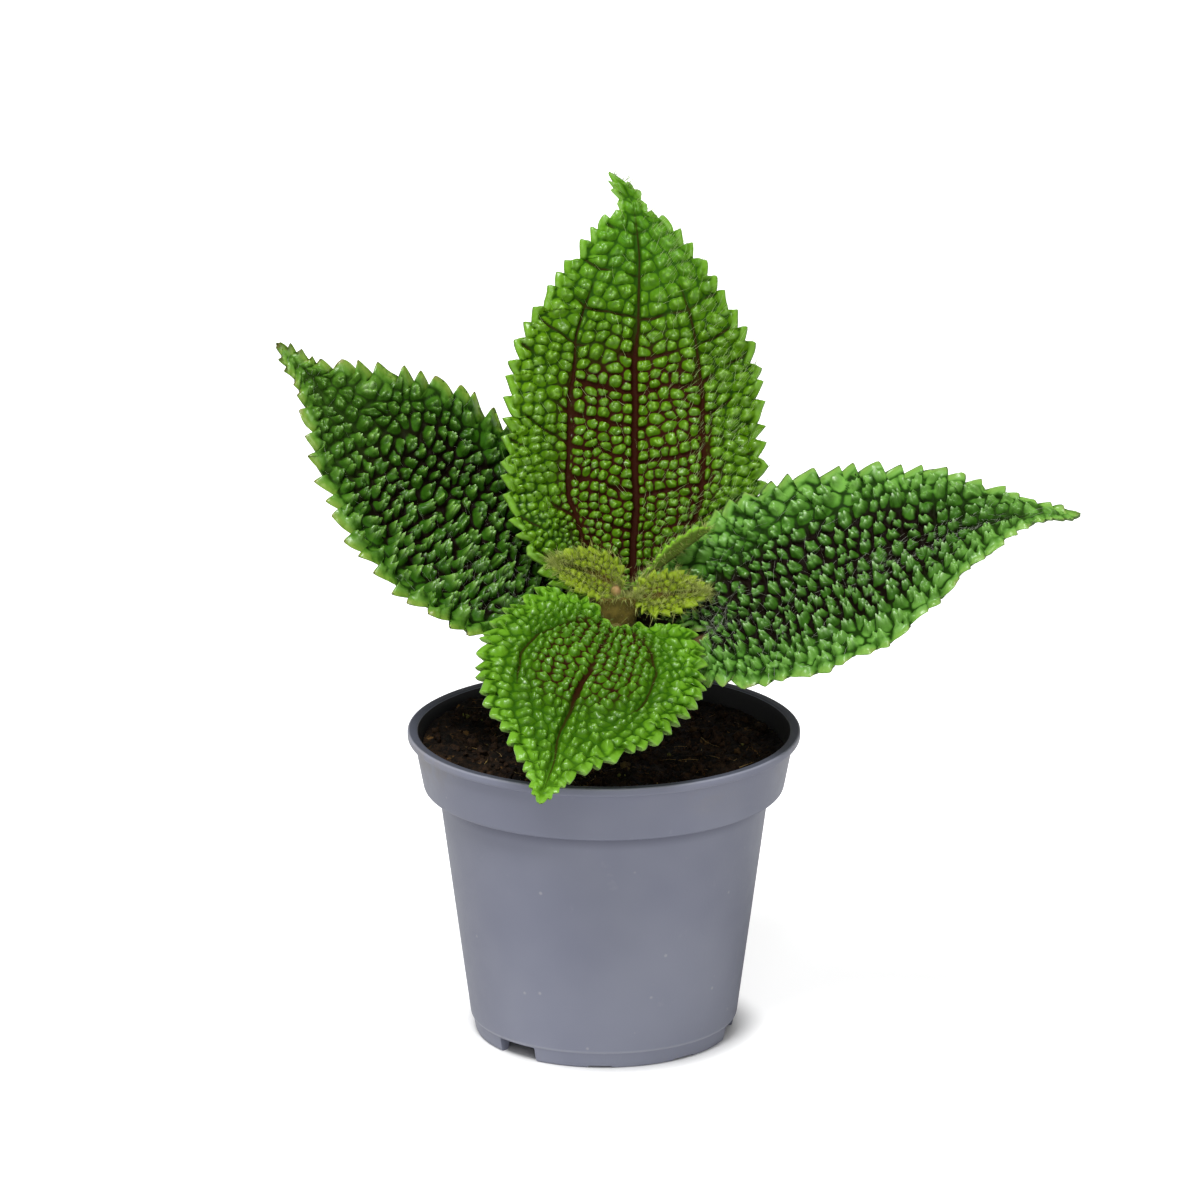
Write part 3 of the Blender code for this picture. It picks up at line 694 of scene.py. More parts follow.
def relief(leaf, rng, x, y, margin, pad, wide):
    """Height of the upper skin above the blade's surface, and what the material needs to know of it."""
    # rows and veins wander, most of all far from the midrib
    centres, crossings, rows = cushions(leaf, rng)
    drift = wander(x, y, 7.0, leaf.seed) * leaf.warp * 1.6
    drift += wander(x, y, 2.6, leaf.seed + 9) * leaf.warp * 0.5
    drift *= ease(np.abs(x), 0.0, 3.0)[:, None]
    reach, share = np.abs(x), np.clip(y / leaf.length, 0, 1)
    wx, wy = x + drift[:, 0], y + drift[:, 1]
    pitch = between(leaf.pitch, share)
    squeeze = np.array((1 / leaf.broad, 1.0))
    cell, middle, border = cells(centres * squeeze, wx / leaf.broad, wy, pitch, leaf.valley)
    lateral = lateral_at(leaf, y) + 0.5 * drift[:, 0] * np.sign(x)
    climbed = wy - slant(reach, lateral)
    cross, row = (
        np.where(x > 0, nearest_line(lines[1], climbed), nearest_line(lines[0], climbed))
        for lines in (crossings, rows)
    )
    plain = leaf.crossing * np.clip(0.75 + 1.6 * drift[:, 1] / max(leaf.warp, 0.1), 0.25, 1)

    # distance from each kind of vein, and how plain it is there
    thick = leaf.vein * (1 - 0.85 * share)
    open_mid = ease(share, 0.5 * leaf.hidden, leaf.hidden + 0.01)
    sway = wander(0 * x, y, 9.0, leaf.seed + 21)[:, 0] * 0.7
    mid_gap = np.maximum(np.abs(x - sway * ease(share, 0.0, 0.15)) - thick, 0)
    on_lateral = leaf.sides * ease(lateral, 0.5, 2.0) * (1 - ease(share, *leaf.side_end))
    side_gap = np.maximum(np.abs(reach - lateral) - 0.5 * thick, 0)
    cross_gap = np.maximum(cross - 0.1, 0)
    mid_depth = (0.3 + 0.7 * open_mid) * (1 - 0.8 * ease(share, 0.8, 0.93))
    grooves = (1 - mid_depth * bell(mid_gap, 0.36)) * (1 - on_lateral * bell(side_gap, 0.3))
    dome = border * grooves * (1 - plain * bell(cross_gap, 0.24))
    inside = ease(margin, 0.3 * leaf.pad, 0.85 * leaf.pad)

    # each cushion has its own height, and a few points round its middle
    tall = rng.uniform(0.7, 1.2, len(centres))[cell]
    spin = rng.uniform(0, math.tau, len(centres))
    local = between(leaf.pitch, np.clip(centres[:, 1:] / leaf.length, 0, 1))
    twigs = []
    for k in np.arange(leaf.lobes) * math.tau / leaf.lobes:
        angle = spin + k + rng.normal(0, 0.45, len(centres))
        out = np.stack([np.cos(angle), np.sin(angle)], axis=1) * rng.uniform(0.6, 1.35, (len(centres), 1))
        twigs.append(centres + 0.3 * local * out)
    twigs = np.vstack(twigs)
    twig, tip_gap, _ = cells(twigs, wx, wy, pitch, 0.1)
    points = bell(tip_gap, leaf.fine * pitch) * rng.uniform(0.75, 1.3, len(twigs))[twig]
    hump = np.clip(1 - (middle / (0.8 * pitch)) ** 2, 0, 1)
    body = dome * ((1 - leaf.peak) * (1 - leaf.domed + leaf.domed * hump) + 1.25 * leaf.peak * points)
    height = leaf.height * body * tall * (0.2 + 0.8 * inside) * (1 - leaf.lower * ease(share, 0.45, 0.95))

    # furrows between rows, a swelling between the veins, pads along the teeth, grooves over the veins
    height -= leaf.furrow * bell(row, 0.2 * pitch) * inside * ease(reach, 0.5, 2.0)
    far = 9.0  # where there is no vein
    vein_gap = np.minimum(mid_gap, side_gap + far * (1 - on_lateral))
    panel = np.minimum(np.where(plain > 0.4, cross_gap, far), vein_gap)
    height += 0.25 * leaf.height * ease(panel, 0, 1.4) * inside
    edge_pad = pad * (1 - ease(margin, 0.45 * leaf.pad, leaf.pad)) * ease(wide, 0.5, 3.0)
    height += 0.26 * leaf.pad * edge_pad * (0.6 + 0.4 * ease(margin, 0, 1.0))
    height -= 0.14 * open_mid * bell(mid_gap, 0.4) + 0.12 * on_lateral * bell(side_gap, 0.35)
    grain = wander(x, y, 0.5, leaf.seed + 3)[:, 0] + wander(x, y, 1.3, leaf.seed + 5)[:, 0]
    height += 0.13 * grain * np.maximum(dome, edge_pad)
    height *= ease(wide, 0.2, 2.4) * 0.75 + 0.25

    # for the material: veins, each cushion's tone, how high a place is on its cushion, and its points
    vein_mid = (1 - ease(mid_gap, 0.0, 0.2 - 0.12 * share)) * (0.3 + 0.7 * open_mid)
    vein_side = (1 - ease(side_gap, 0.0, 0.2)) * on_lateral
    vein_cross = (1 - ease(cross_gap, 0.0, 0.2)) * plain * 0.8
    vein = np.maximum(np.maximum(vein_mid, vein_side), vein_cross * inside)
    tone = rng.uniform(0, 1, len(centres))[cell]
    crest = np.clip(dome * (0.9 + 0.3 * grain), 0, 1)
    crest = np.maximum(crest * inside, (0.3 + 0.5 * pad + 0.2 * grain) * (1 - inside))
    crest = np.maximum(crest, 0.6 * ease(share, 0.7, 0.85) * (1 - ease(wide, 0.4, 2.0)))  # the drip tip
    top = np.clip((0.35 * hump + 0.65 * points) * dome, 0, 1)
    top = np.maximum(top * inside, (0.15 + 0.35 * pad + 0.3 * grain) * (1 - inside))
    return height, np.clip(crest, 0, 1), np.clip(top, 0, 1), vein, tone


# %% The whole skin
def leaf_skin(leaf):
    """One closed skin: the columns cross the upper side, and come back below."""
    rng = np.random.default_rng(leaf.seed)
    upper, lower = leaf.columns
    columns = 2 * (upper + lower)
    piece, u, v = flat_grid(leaf.name.replace("leaf", "blade"), columns, leaf.rows)
    column, row = np.rint(u * columns).astype(int), np.rint(v * leaf.rows).astype(int)
    top = column <= 2 * upper
    across = np.where(top, column / upper - 1, 1 - (column - 2 * upper) / lower)
    share = np.abs(across)
    right = across > 0
    halves = [edge_rows(leaf, rng, hand) for hand in (0, 1)]

    def pick(index):
        first, second = halves[0][index][row], halves[1][index][row]
        return np.where(right if first.ndim == 1 else right[:, None], second, first)

    feet, bottom, toothed, phase, pad, turn = (pick(i) for i in range(6))
    t = row / leaf.rows
    shift = np.where(right, 1, -1) * leaf.skew * leaf.length * 4 * t * (1 - t)
    bottom[:, 1] += shift
    toothed[:, 1] += shift
    foot = np.stack([0 * feet, feet], axis=1)
    blend = ease(share, 0.78, 1.0)[:, None]
    flat = foot + (bottom - foot) * share[:, None] + (toothed - bottom) * blend
    margin = np.linalg.norm(toothed - flat, axis=1)
    wide = np.linalg.norm(bottom - foot, axis=1)
    x, y = flat[:, 0] * np.where(right, 1, -1), flat[:, 1]

    height, dome, crown, vein, tone = relief(leaf, rng, x, y, margin, pad, wide)
    middle = -0.5 * leaf.thickness
    wave = 0.4 * np.sin(turn * 1.9 + 4 * right) * ease(share, 0.55, 1.0) * ease(wide, 2, 9)
    skin = height - 0.45 * leaf.height
    underside = -leaf.thickness - 0.16 * vein + 0.22 * leaf.height * (dome - 0.6)
    underside = np.minimum(underside, skin - 0.35 * leaf.thickness)
    edge = np.clip(margin / 0.42, 0, 1)
    round_off = np.sqrt(1 - (1 - edge) ** 2)
    lift = middle + (np.where(top, skin, underside) - middle) * round_off + wave
    lean = leaf.lean * height * np.where(top, round_off, 0.0) * ease(share, 0.0, 0.1)
    put_places(piece, Blade(leaf).places(x, y, lift, lean))
    paint(piece, "quilt", (dome, vein, 1 - ease(margin, 0.0, 2.6), tone))
    paint(piece, "where", (np.clip(y / leaf.length, 0, 1), share, right, ~top))
    paint(piece, "tooth", (phase, crown, np.clip(margin / 10, 0, 1), 0.0))
    close_seams(piece)
    return piece


# %% [markdown]
# ## Leaf finishes
# The four big leaves share one recipe with their own colours. Low places are dark, the cushions' sides are
# green, their tops are lighter and a little glossy, and the toothed rim is yellower. Near the stalk the
# veins and valleys turn maroon. The underside is paler and dull, with the veins showing. Towards the tip a
# painted sheen lightens the cushions, and their highest points carry a painted highlight.

# %% Leaf material
def leaf_finish(name, valley, maroon, flank, crown, rim, tip, under, zone, gloss, wet=1.0, pale=(0, 0),
                deep=0.0, sheen_span=(0.9, 1.0, 0.0), sheen_colour=None, peak=(0, 0, 0), highlight_share=0.0, one_sided=0.0):
    """The colours are of the valleys, the veins, the cushions' sides and tops, the rim, the teeth's points
    and the underside. zone says how far across and along the maroon reaches; deep, how much wider the
    dark of the valleys is there; pale, how wide the light borders are, and how light; one_sided, how much
    less so on the right half; sheen_span, from where to where along the leaf a painted sheen of
    sheen_colour lightens it towards the tip, and how much; peak and highlight_share, the colour of a
    painted highlight on the highest points, and how much of it shows."""
    valley, maroon, flank, crown, rim, tip, under, sheen_colour, peak = (
        srgb(*colour) for colour in (valley, maroon, flank, crown, rim, tip, under, sheen_colour or crown, peak)
    )
    finish = Finish(name, Specular_IOR_Level=0.03, Coat_Roughness=gloss, Coat_IOR=1.62)
    crest, vein, edge, tone = finish.painted("quilt")
    along, across, hand, below = finish.painted("where")
    phase, top, inner, _ = finish.painted("tooth")
    cloud = finish.noise(420, 3.0)
    patch = finish.noise(85, 2.0)
    reddened = (1 - across.rise(zone[0], zone[1])) * (1 - along.rise(zone[2], zone[3]))
    reddened = (reddened + (patch - 0.5) * 0.6).rise(0.15, 0.8)
    low = finish.mix(reddened, valley, maroon)
    lit = crest - reddened * deep + (cloud - 0.5) * 0.14
    body = finish.mix(lit.rise(0.08, 0.44), low, flank)
    body = finish.mix((top + (cloud - 0.5) * 0.3).rise(0.2, 0.85) * (0.4 + tone * 0.6), body, crown)
    if pale[0]:
        border = (1 - inner.rise(pale[0] * 0.3, pale[0])) * crest.rise(0.2, 0.7)
        body = finish.mix(border * (1 - hand * one_sided) * pale[1], body, crown)
    # towards the tip the cushions turn lighter and cooler: a painted sheen
    if sheen_span[2]:
        tip_sheen = along.rise(sheen_span[0], sheen_span[1]) * (crest * 0.7 + 0.3)
        body = finish.mix(tip_sheen * sheen_span[2], body, sheen_colour)
    # a painted highlight on the highest points of the cushions
    if highlight_share:
        body = finish.mix((top + (cloud - 0.5) * 0.5).rise(0.62, 1.0) * highlight_share, body, peak)
    body = finish.mix(edge.rise(0.45, 1.0) * top.rise(0.0, 0.5) * 0.7, body, rim)
    pale_tip = (edge.rise(0.72, 1.0) * phase.rise(0.5, 0.7)) * (1 - phase.rise(0.76, 0.92))
    body = finish.mix(pale_tip * 0.7, body, tip)
    veined = vein.rise(0.15, 0.85) * (1 - edge.rise(0.3, 0.8)) * (1 - along.rise(0.82, 0.95))
    body = finish.mix(veined * (0.75 + reddened * 0.25), body, maroon)
    shade = 0.8 + patch * 0.4
    grey = finish.node("ShaderNodeCombineColor", {}, {0: shade, 1: shade, 2: shade})
    body = finish.mix(1.0, body, grey, blend="MULTIPLY")
    lower = finish.mix(vein.rise(0.2, 0.9) * 0.6 + (1 - crest.rise(0.2, 0.7)) * 0.4, under, maroon)
    colour = finish.mix(below, body, lower)
    shine = top.rise(0.1, 0.6) * (1 - below) * (1 - veined * 0.7) * (0.5 + cloud * 0.6)
    wrinkle = finish.noise(1700, 3.0, 0.65)
    return finish.surface(Base_Color=colour, Roughness=0.5 + (cloud - 0.5) * 0.3, Coat_Weight=shine * wet,
                          Normal=finish.bump(wrinkle, 0.5, 0.00014))


leaf_materials = {
    "leaf_back": leaf_finish(
        "back_leaf", valley=(30, 60, 6), maroon=(46, 18, 7), flank=(74, 116, 8), crown=(110, 160, 22),
        rim=(116, 170, 40), tip=(136, 180, 76), under=(112, 140, 76), zone=(0.3, 1.0, 0.35, 0.8), gloss=0.3,
        pale=(0.5, 0.5), deep=0.16, sheen_span=(0.55, 0.9, 0.6), sheen_colour=(84, 152, 38), peak=(150, 198, 84),
        highlight_share=0.25, one_sided=0.7,
    ),
    "leaf_front": leaf_finish(
        "front_leaf", valley=(46, 88, 10), maroon=(46, 24, 9), flank=(66, 112, 10), crown=(108, 164, 36),
        rim=(118, 174, 48), tip=(136, 186, 64), under=(112, 140, 76), zone=(0.3, 0.75, 0.3, 0.7), gloss=0.32,
        pale=(0.65, 0.8), sheen_span=(0.65, 0.92, 0.6), peak=(160, 204, 90), highlight_share=0.25,
    ),
    "leaf_left": leaf_finish(
        "left_leaf", valley=(24, 44, 10), maroon=(18, 11, 6), flank=(46, 90, 15), crown=(112, 162, 56),
        rim=(130, 158, 56), tip=(156, 132, 88), under=(100, 124, 76), zone=(0.55, 1.0, 0.4, 0.95), gloss=0.3,
        pale=(0.45, 0.5), deep=0.15, sheen_span=(0.5, 0.95, 0.35), peak=(170, 200, 140), highlight_share=0.5,
    ),
    "leaf_right": leaf_finish(
        "right_leaf", valley=(28, 52, 12), maroon=(20, 13, 8), flank=(58, 106, 26), crown=(118, 172, 74),
        rim=(130, 174, 70), tip=(140, 150, 84), under=(100, 124, 76), zone=(0.3, 0.9, 0.4, 1.0), gloss=0.33,
        pale=(0.95, 0.95), deep=0.24, sheen_span=(0.7, 0.95, 0.4), peak=(188, 214, 170), highlight_share=0.8, one_sided=0.25,
    ),
    "young_leaf_left": leaf_finish(
        "young_leaf", valley=(46, 54, 10), maroon=(78, 62, 24), flank=(120, 142, 26), crown=(150, 172, 46),
        rim=(138, 162, 46), tip=(154, 178, 60), under=(128, 142, 52), zone=(0.2, 0.7, 0.2, 0.7), gloss=0.5,
        wet=0.1,
    ),
    "axillary_leaf": leaf_finish(
        "side_leaf", valley=(78, 104, 26), maroon=(104, 96, 52), flank=(104, 154, 38), crown=(128, 180, 50),
        rim=(140, 200, 52), tip=(150, 200, 64), under=(116, 146, 58), zone=(0.1, 0.5, 0.2, 0.9), gloss=0.5,
        wet=0.1,
    ),
    # the small inner leaf's very dark colours are painted shade
    "inner_leaf": leaf_finish(
        "inner_leaf", valley=(18, 26, 8), maroon=(22, 14, 8), flank=(44, 66, 20), crown=(66, 92, 34),
        rim=(80, 116, 40), tip=(80, 116, 40), under=(70, 80, 40), zone=(0.5, 1.0, 0.5, 1.0), gloss=0.4,
        wet=0.3, deep=0.3,
    ),
}
leaf_materials["young_leaf_right"] = leaf_materials["young_leaf_left"]
print(len(leaf_materials), "leaves have a finish")

# %% Make the leaves
blades = {}
for name, leaf in LEAVES.items():
    nodes = () if name == "inner_leaf" else (name,)  # the CAD model leaves this small one out
    blades[name] = dressed(leaf_skin(leaf), leaf_materials[name], leaf.slot, *nodes)


# %% [markdown]
# ## Stem and stalks
# The stem is short and hidden by the leaves, with a swelling at each pair of them. A stalk curves from it
# to the underside of its blade. All are round skins on a bent line, with low ridges and a downy finish.

# %% Round skins
CAP_ROWS = 6  # in each rounded end of a tube


def tube(name, points, columns=28, rows=60, seed=1):
    """A closed skin round a line of (x, y, z, radius) points in millimetres."""
    line = smooth_line(points, 8)
    run = run_of(line[:, :3])
    rows += 2 * CAP_ROWS
    piece, u, v = flat_grid(name, columns, rows)
    cap = CAP_ROWS / rows
    along = np.clip((v - cap) / (1 - 2 * cap), 0, 1) * run[-1]
    found = at(line, along, run)
    ahead = at(line[:, :3], along + 0.3, run) - at(line[:, :3], along - 0.3, run)
    ahead /= np.linalg.norm(ahead, axis=1, keepdims=True)
    across = np.cross(ahead, np.where(np.abs(ahead[:, 2:]) > 0.8, [[0.0, 1.0, 0.0]], [[0.0, 0.0, 1.0]]))
    across /= np.linalg.norm(across, axis=1, keepdims=True)
    up = np.cross(across, ahead)
    angle = -u * math.tau
    end = np.clip(np.maximum(cap - v, v - 1 + cap) / cap, 0, 1)
    radius = found[:, 3] * np.sqrt(np.maximum(1 - end**2, 0))
    radius *= 1 + 0.035 * np.sin(5 * angle + along * 0.4 + seed)  # five low ridges, slowly turning
    radius *= 1 + 0.03 * np.sin(along * 2.7 + seed) * (1 - end)
    outward = across * np.cos(angle)[:, None] + up * np.sin(angle)[:, None]
    put_places(piece, found[:, :3] + outward * radius[:, None])
    close_seams(piece)
    return piece


STEM_PATH = (
    (1.3, 0.5, 36.3, 1.9), (1.3, 0.5, 41.0, 2.3), (1.3, 0.5, 46.5, 2.3), (1.5, 0.4, 51.0, 2.1),
    (1.7, 0.3, 55.0, 2.2), (1.9, 0.2, 58.5, 2.7), (2.1, 0.1, 62.5, 2.3), (2.3, 0.0, 65.8, 2.8),
    (2.3, -0.3, 68.2, 2.5), (2.3, -0.6, 69.4, 1.8),
)
STALKS = {  # where each leaves the stem, its thickness there and at the blade
    "leaf_back": ((2.9, 3.1, 65.7), 1.4, 1.15),
    "leaf_front": ((2.1, -3.1, 64.6), 1.4, 1.1),
    "leaf_left": ((-1.3, 1.2, 57.3), 1.4, 1.1),
    "leaf_right": ((4.9, -0.7, 59.4), 1.5, 1.2),
}
CAD_THICKNESS, CLEARANCE = 0.8, 0.42  # of a blade, and of a stalk under it

downy = Finish("downy_stem", Specular_IOR_Level=0.3)
streak = downy.noise(420, 3.0)
stem_patch = downy.noise(120, 2.0)
stem_colour = downy.mix(stem_patch.rise(0.35, 0.65), srgb(96, 84, 40), srgb(120, 124, 62))
stem_colour = downy.mix(streak.rise(0.5, 0.75) * 0.6, stem_colour, srgb(86, 52, 36))
stem_material = downy.surface(
    Base_Color=stem_colour, Roughness=0.55 + streak * 0.2, Normal=downy.bump(streak, 0.5, 0.0002)
)
dressed(tube("green_stem", STEM_PATH, 32, 90), stem_material, "stem", "main_stem")
for name, (start, thick, thin) in STALKS.items():
    blade = Blade(LEAVES[name])
    below = -(CAD_THICKNESS + CLEARANCE + thin)
    under, reach = blade.places(np.zeros(2), np.array([-1.0, 3.0]), np.array([below, below]))
    middle = (np.array(start) + under) / 2
    middle[2] -= 0.06 * np.linalg.norm(under - np.array(start))
    line = smooth_line([start, middle, under, reach], 2)
    radii = np.linspace(thick, thin, len(line))
    stalk = tube(name.replace("leaf", "stalk"), np.column_stack([line, radii]), seed=LEAVES[name].seed)
    dressed(stalk, stem_material, "stem", name.replace("leaf", "petiole"))

# %% [markdown]
# ## Bud and scale
# At the very top is a bud of folded leaves, pinkish and downy. Under it a thin brown scale wraps the front
# of the stem. The bud is a round skin with a few overlapping folds; the scale is a sheet bent round the stem.

# %% Bud and scale
bud, u, v = flat_grid("folded_bud", 48, 36)
turn, climb = u * math.tau, (v - 0.5) * math.pi
folds = 1 + 0.10 * np.abs(np.sin(2.5 * turn - 2.2 * v)) - 0.03 * np.sin(9 * turn)
round_part = np.stack(
    [np.cos(climb) * np.cos(turn) * folds, np.cos(climb) * np.sin(turn) * folds, np.sin(climb)], axis=1
)
put_places(bud, np.array((1.8, -3.25, 70.8)) + round_part * np.array((0.7, 0.65, 0.9)))
paint(bud, "where", (v, 0.0, 0.0, 0.0))
close_seams(bud)
pink = Finish("bud_skin", Specular_IOR_Level=0.3)
fleck = pink.noise(900, 3.0)
pink_colour = pink.mix(fleck.rise(0.35, 0.7), srgb(172, 138, 92), srgb(138, 122, 62))
bud_material = pink.surface(
    Base_Color=pink_colour, Roughness=0.5 + fleck * 0.25, Normal=pink.bump(fleck, 0.4, 0.00015)
)
dressed(bud, bud_material, "bud", "terminal_bud")

STEM_TOP_RADIUS = 2.8
scale, u, v = flat_grid("stem_scale", 80, 24)
front = u <= 0.5  # the other half of the columns comes back along the inner side
bend = np.where(front, 4 * u - 1, 3 - 4 * u)
spread = np.radians(-90 + bend * (46 + 32 * v) * np.where(bend < 0, 1.3, 1.0))  # wider on its left side
skin = np.where(front, 0.5, 0.05) * np.sqrt(np.maximum(1 - bend**6, 0)) * (1 - 0.7 * v**4)
skin *= ease(v, 0, 0.06) * ease(1 - v, 0, 0.06)
ripple = 0.06 * np.sin(11 * bend) * v
out = STEM_TOP_RADIUS + CLEARANCE + 0.9 * v + skin + ripple
tall = 65.3 + v * 4.7 * (1 - 0.12 * bend**2) + 0.12 * np.sin(7 * bend) * v
put_places(scale, np.stack([2.0 + out * np.cos(spread), out * np.sin(spread), tall], axis=1))
paint(scale, "where", (v, 0.0, 0.0, 0.0))
close_seams(scale)
husk = Finish("stem_scale", Specular_IOR_Level=0.25)
thread = husk.noise(700, 4.0)
husk_colour = husk.mix(thread.rise(0.3, 0.7), srgb(80, 72, 20), srgb(116, 102, 40))
scale_material = husk.surface(
    Base_Color=husk_colour, Roughness=0.6 + thread * 0.2, Normal=husk.bump(thread, 0.5, 0.0002)
)
dressed(scale, scale_material, "bud", "stipule")


# %% [markdown]
# ## The pot
# A nursery pot is injection moulded: a thin wall with a wide collar, a turned-out rim, a foot ring and
# drain slots. It could be carved from a cylinder, but every level of it is round, so half its section is
# drawn once and spun about the axis, and the slots are cut afterwards.

# %% Section of the wall
POT_HEIGHT, WALL, RIM_RADIUS, RIM_BORE, RIM_DEPTH = 48.0, 0.8, 30.0, 28.5, 1.3
COLLAR_TOP_RADIUS, COLLAR_FOOT_RADIUS, COLLAR_FOOT = 29.0, 27.5, 38.9
BODY_TOP_RADIUS, BODY_FOOT_RADIUS, BODY_FOOT, BAND_DEPTH = 25.3, 20.5, 2.7, 0.3
FOOT_RADIUS, FOOT_BORE, FLOOR, PAD_RADIUS = 19.7, 18.3, 2.0, 3.0
CORNER = 0.4


def body_radius(z):
    """Radius of the tapered body's outer face at a height."""
    climb = (z - BODY_FOOT) / (COLLAR_FOOT - BODY_FOOT)
    return BODY_FOOT_RADIUS + climb * (BODY_TOP_RADIUS - BODY_FOOT_RADIUS)


def rounded(points, steps=4):
    """The same path with its corners rounded. A corner's own radius may follow its two coordinates."""
    path = [points[0][:2]]
    for before, corner, after in zip(points, points[1:], points[2:], strict=False):
        size = corner[2] if len(corner) > 2 else CORNER
        here = np.array(corner[:2], float)
        back, on = np.array(before[:2]) - here, np.array(after[:2]) - here
        cut = min(size, 0.45 * np.linalg.norm(back), 0.45 * np.linalg.norm(on))
        start, end = here + back / np.linalg.norm(back) * cut, here + on / np.linalg.norm(on) * cut
        for t in np.linspace(0, 1, steps + 1):
            path.append(tuple((1 - t) ** 2 * start + 2 * t * (1 - t) * here + t * t * end))
    path.append(points[-1][:2])
    return path


floor_top, ledge, under_rim = FLOOR + WALL, COLLAR_FOOT + WALL, POT_HEIGHT - RIM_DEPTH
section = rounded(
    [
        (0.0, floor_top), (body_radius(floor_top) - WALL, floor_top), (body_radius(ledge) - WALL, ledge, 0.5),
        (COLLAR_FOOT_RADIUS - WALL, ledge, 0.6), (COLLAR_TOP_RADIUS - WALL, under_rim, 0.3),
        (RIM_BORE, POT_HEIGHT, 0.3), (RIM_RADIUS, POT_HEIGHT, 0.35), (RIM_RADIUS, under_rim, 0.6),
        (COLLAR_TOP_RADIUS, under_rim, 0.35), (COLLAR_FOOT_RADIUS, COLLAR_FOOT, 0.55),
        (BODY_TOP_RADIUS, COLLAR_FOOT, 0.5), (BODY_FOOT_RADIUS, BODY_FOOT, 0.25),
        (BODY_FOOT_RADIUS - BAND_DEPTH, BODY_FOOT - BAND_DEPTH, 0.2), (FOOT_RADIUS, 0.0, 0.35),
        (FOOT_BORE, 0.0, 0.35), (FOOT_BORE - 0.4, FLOOR, 0.3), (PAD_RADIUS + 0.4, FLOOR, 0.3),
        (PAD_RADIUS, 0.0, 0.3), (0.0, 0.0),
    ]
)
print(len(section), "points round the wall's section")

# %% Spin the section and cut the slots
SPIN_STEPS = 160
pot = primitive("circle", vertices=len(section), radius=0.01)
pot.name = pot.data.name = "moulded_pot"
put_places(pot, [(r, 0.0, z) for r, z in section])
bpy.ops.object.mode_set(mode="EDIT")
bpy.ops.mesh.select_all(action="DESELECT")
bpy.ops.object.mode_set(mode="OBJECT")
for edge in pot.data.edges:  # the circle's last edge runs along the axis, from the end to the start
    edge.select = set(edge.vertices) == {0, len(section) - 1}
bpy.ops.object.mode_set(mode="EDIT")
bpy.ops.mesh.select_mode(type="EDGE")
bpy.ops.mesh.delete(type="EDGE")
bpy.ops.mesh.select_mode(type="VERT")
bpy.ops.mesh.select_all(action="SELECT")
bpy.ops.mesh.spin(steps=SPIN_STEPS, angle=math.tau, center=(0, 0, 0), axis=(0, 0, 1))
bpy.ops.mesh.select_all(action="SELECT")
bpy.ops.mesh.remove_doubles(threshold=2e-6)
bpy.ops.mesh.normals_make_consistent(inside=False)
bpy.ops.object.mode_set(mode="OBJECT")

SLOTS, FIRST_SLOT = 9, math.radians(-91.8)


def block(radius, angle, low, high, deep, wide):
    """A cutter's box with softened corners, at a place round the foot, in millimetres."""
    middle = (radius * math.cos(angle) * MM, radius * math.sin(angle) * MM, (low + high) / 2 * MM)
    size = (deep * MM, wide * MM, (high - low) * MM)
    made = primitive("cube", size=1.0, location=middle, rotation=(0, 0, angle), scale=size)
    bpy.ops.object.transform_apply(location=True, rotation=True, scale=True)
    bevel = made.modifiers.new("soft", "BEVEL")
    bevel.width = min(0.25, 0.3 * (high - low)) * MM
    bevel.segments = 3
    bpy.ops.object.modifier_apply(modifier="soft")
    return made


def cut(piece, cutters):
    """Takes each cutter's shape out of the piece."""
    for cutter in cutters:
        only(piece)
        boolean = piece.modifiers.new("cut", "BOOLEAN")
        boolean.operation, boolean.solver, boolean.object = "DIFFERENCE", "EXACT", cutter
        bpy.ops.object.modifier_apply(modifier="cut")
        bpy.data.objects.remove(cutter)


cutters = []
for i in range(SLOTS):
    angle = FIRST_SLOT + i * math.tau / SLOTS
    deep = i % 3 == 2
    wide, high = (7.0, 2.3) if deep else (3.8, 0.35)
    cutters.append(block((FOOT_RADIUS + FOOT_BORE) / 2 + 0.4, angle, -1.0, high, 4.0, wide))
    if deep:
        cutters.append(block(16.4, angle, FLOOR - 1.0, FLOOR + 2.0, 3.6, 5.0))
cut(pot, cutters)

# where the plastic is crusted with mix and darkened by painted shade inside the pot, where a painted
# highlight runs along the rim's outer edge, and where it is dark along its inner edge
spots = np.array([v.co for v in pot.data.vertices]) / MM
radius, height = np.hypot(spots[:, 0], spots[:, 1]), spots[:, 2]
in_collar = COLLAR_FOOT_RADIUS + (height - COLLAR_FOOT) / (POT_HEIGHT - COLLAR_FOOT) * 1.5 - 0.5 * WALL
inner = (radius < in_collar) & (height > COLLAR_FOOT) & (height < POT_HEIGHT - 0.2)
# a painted highlight along the rim's outer top edge
rim_highlight = ease(height, POT_HEIGHT - 0.4, POT_HEIGHT - 0.1) * ease(radius, RIM_RADIUS - 0.38, RIM_RADIUS - 0.12)
ring = ease(height, POT_HEIGHT - 0.2, POT_HEIGHT - 0.05) * ease(radius, RIM_BORE - 0.3, RIM_BORE) * (1 - rim_highlight)
# dried mix together with painted shade inside the pot
grime_and_shade = inner | ((height > FLOOR + WALL - 0.01) & (radius < body_radius(height) - 0.5))
paint(pot, "wall", (grime_and_shade, rim_highlight, ring, 0.0))
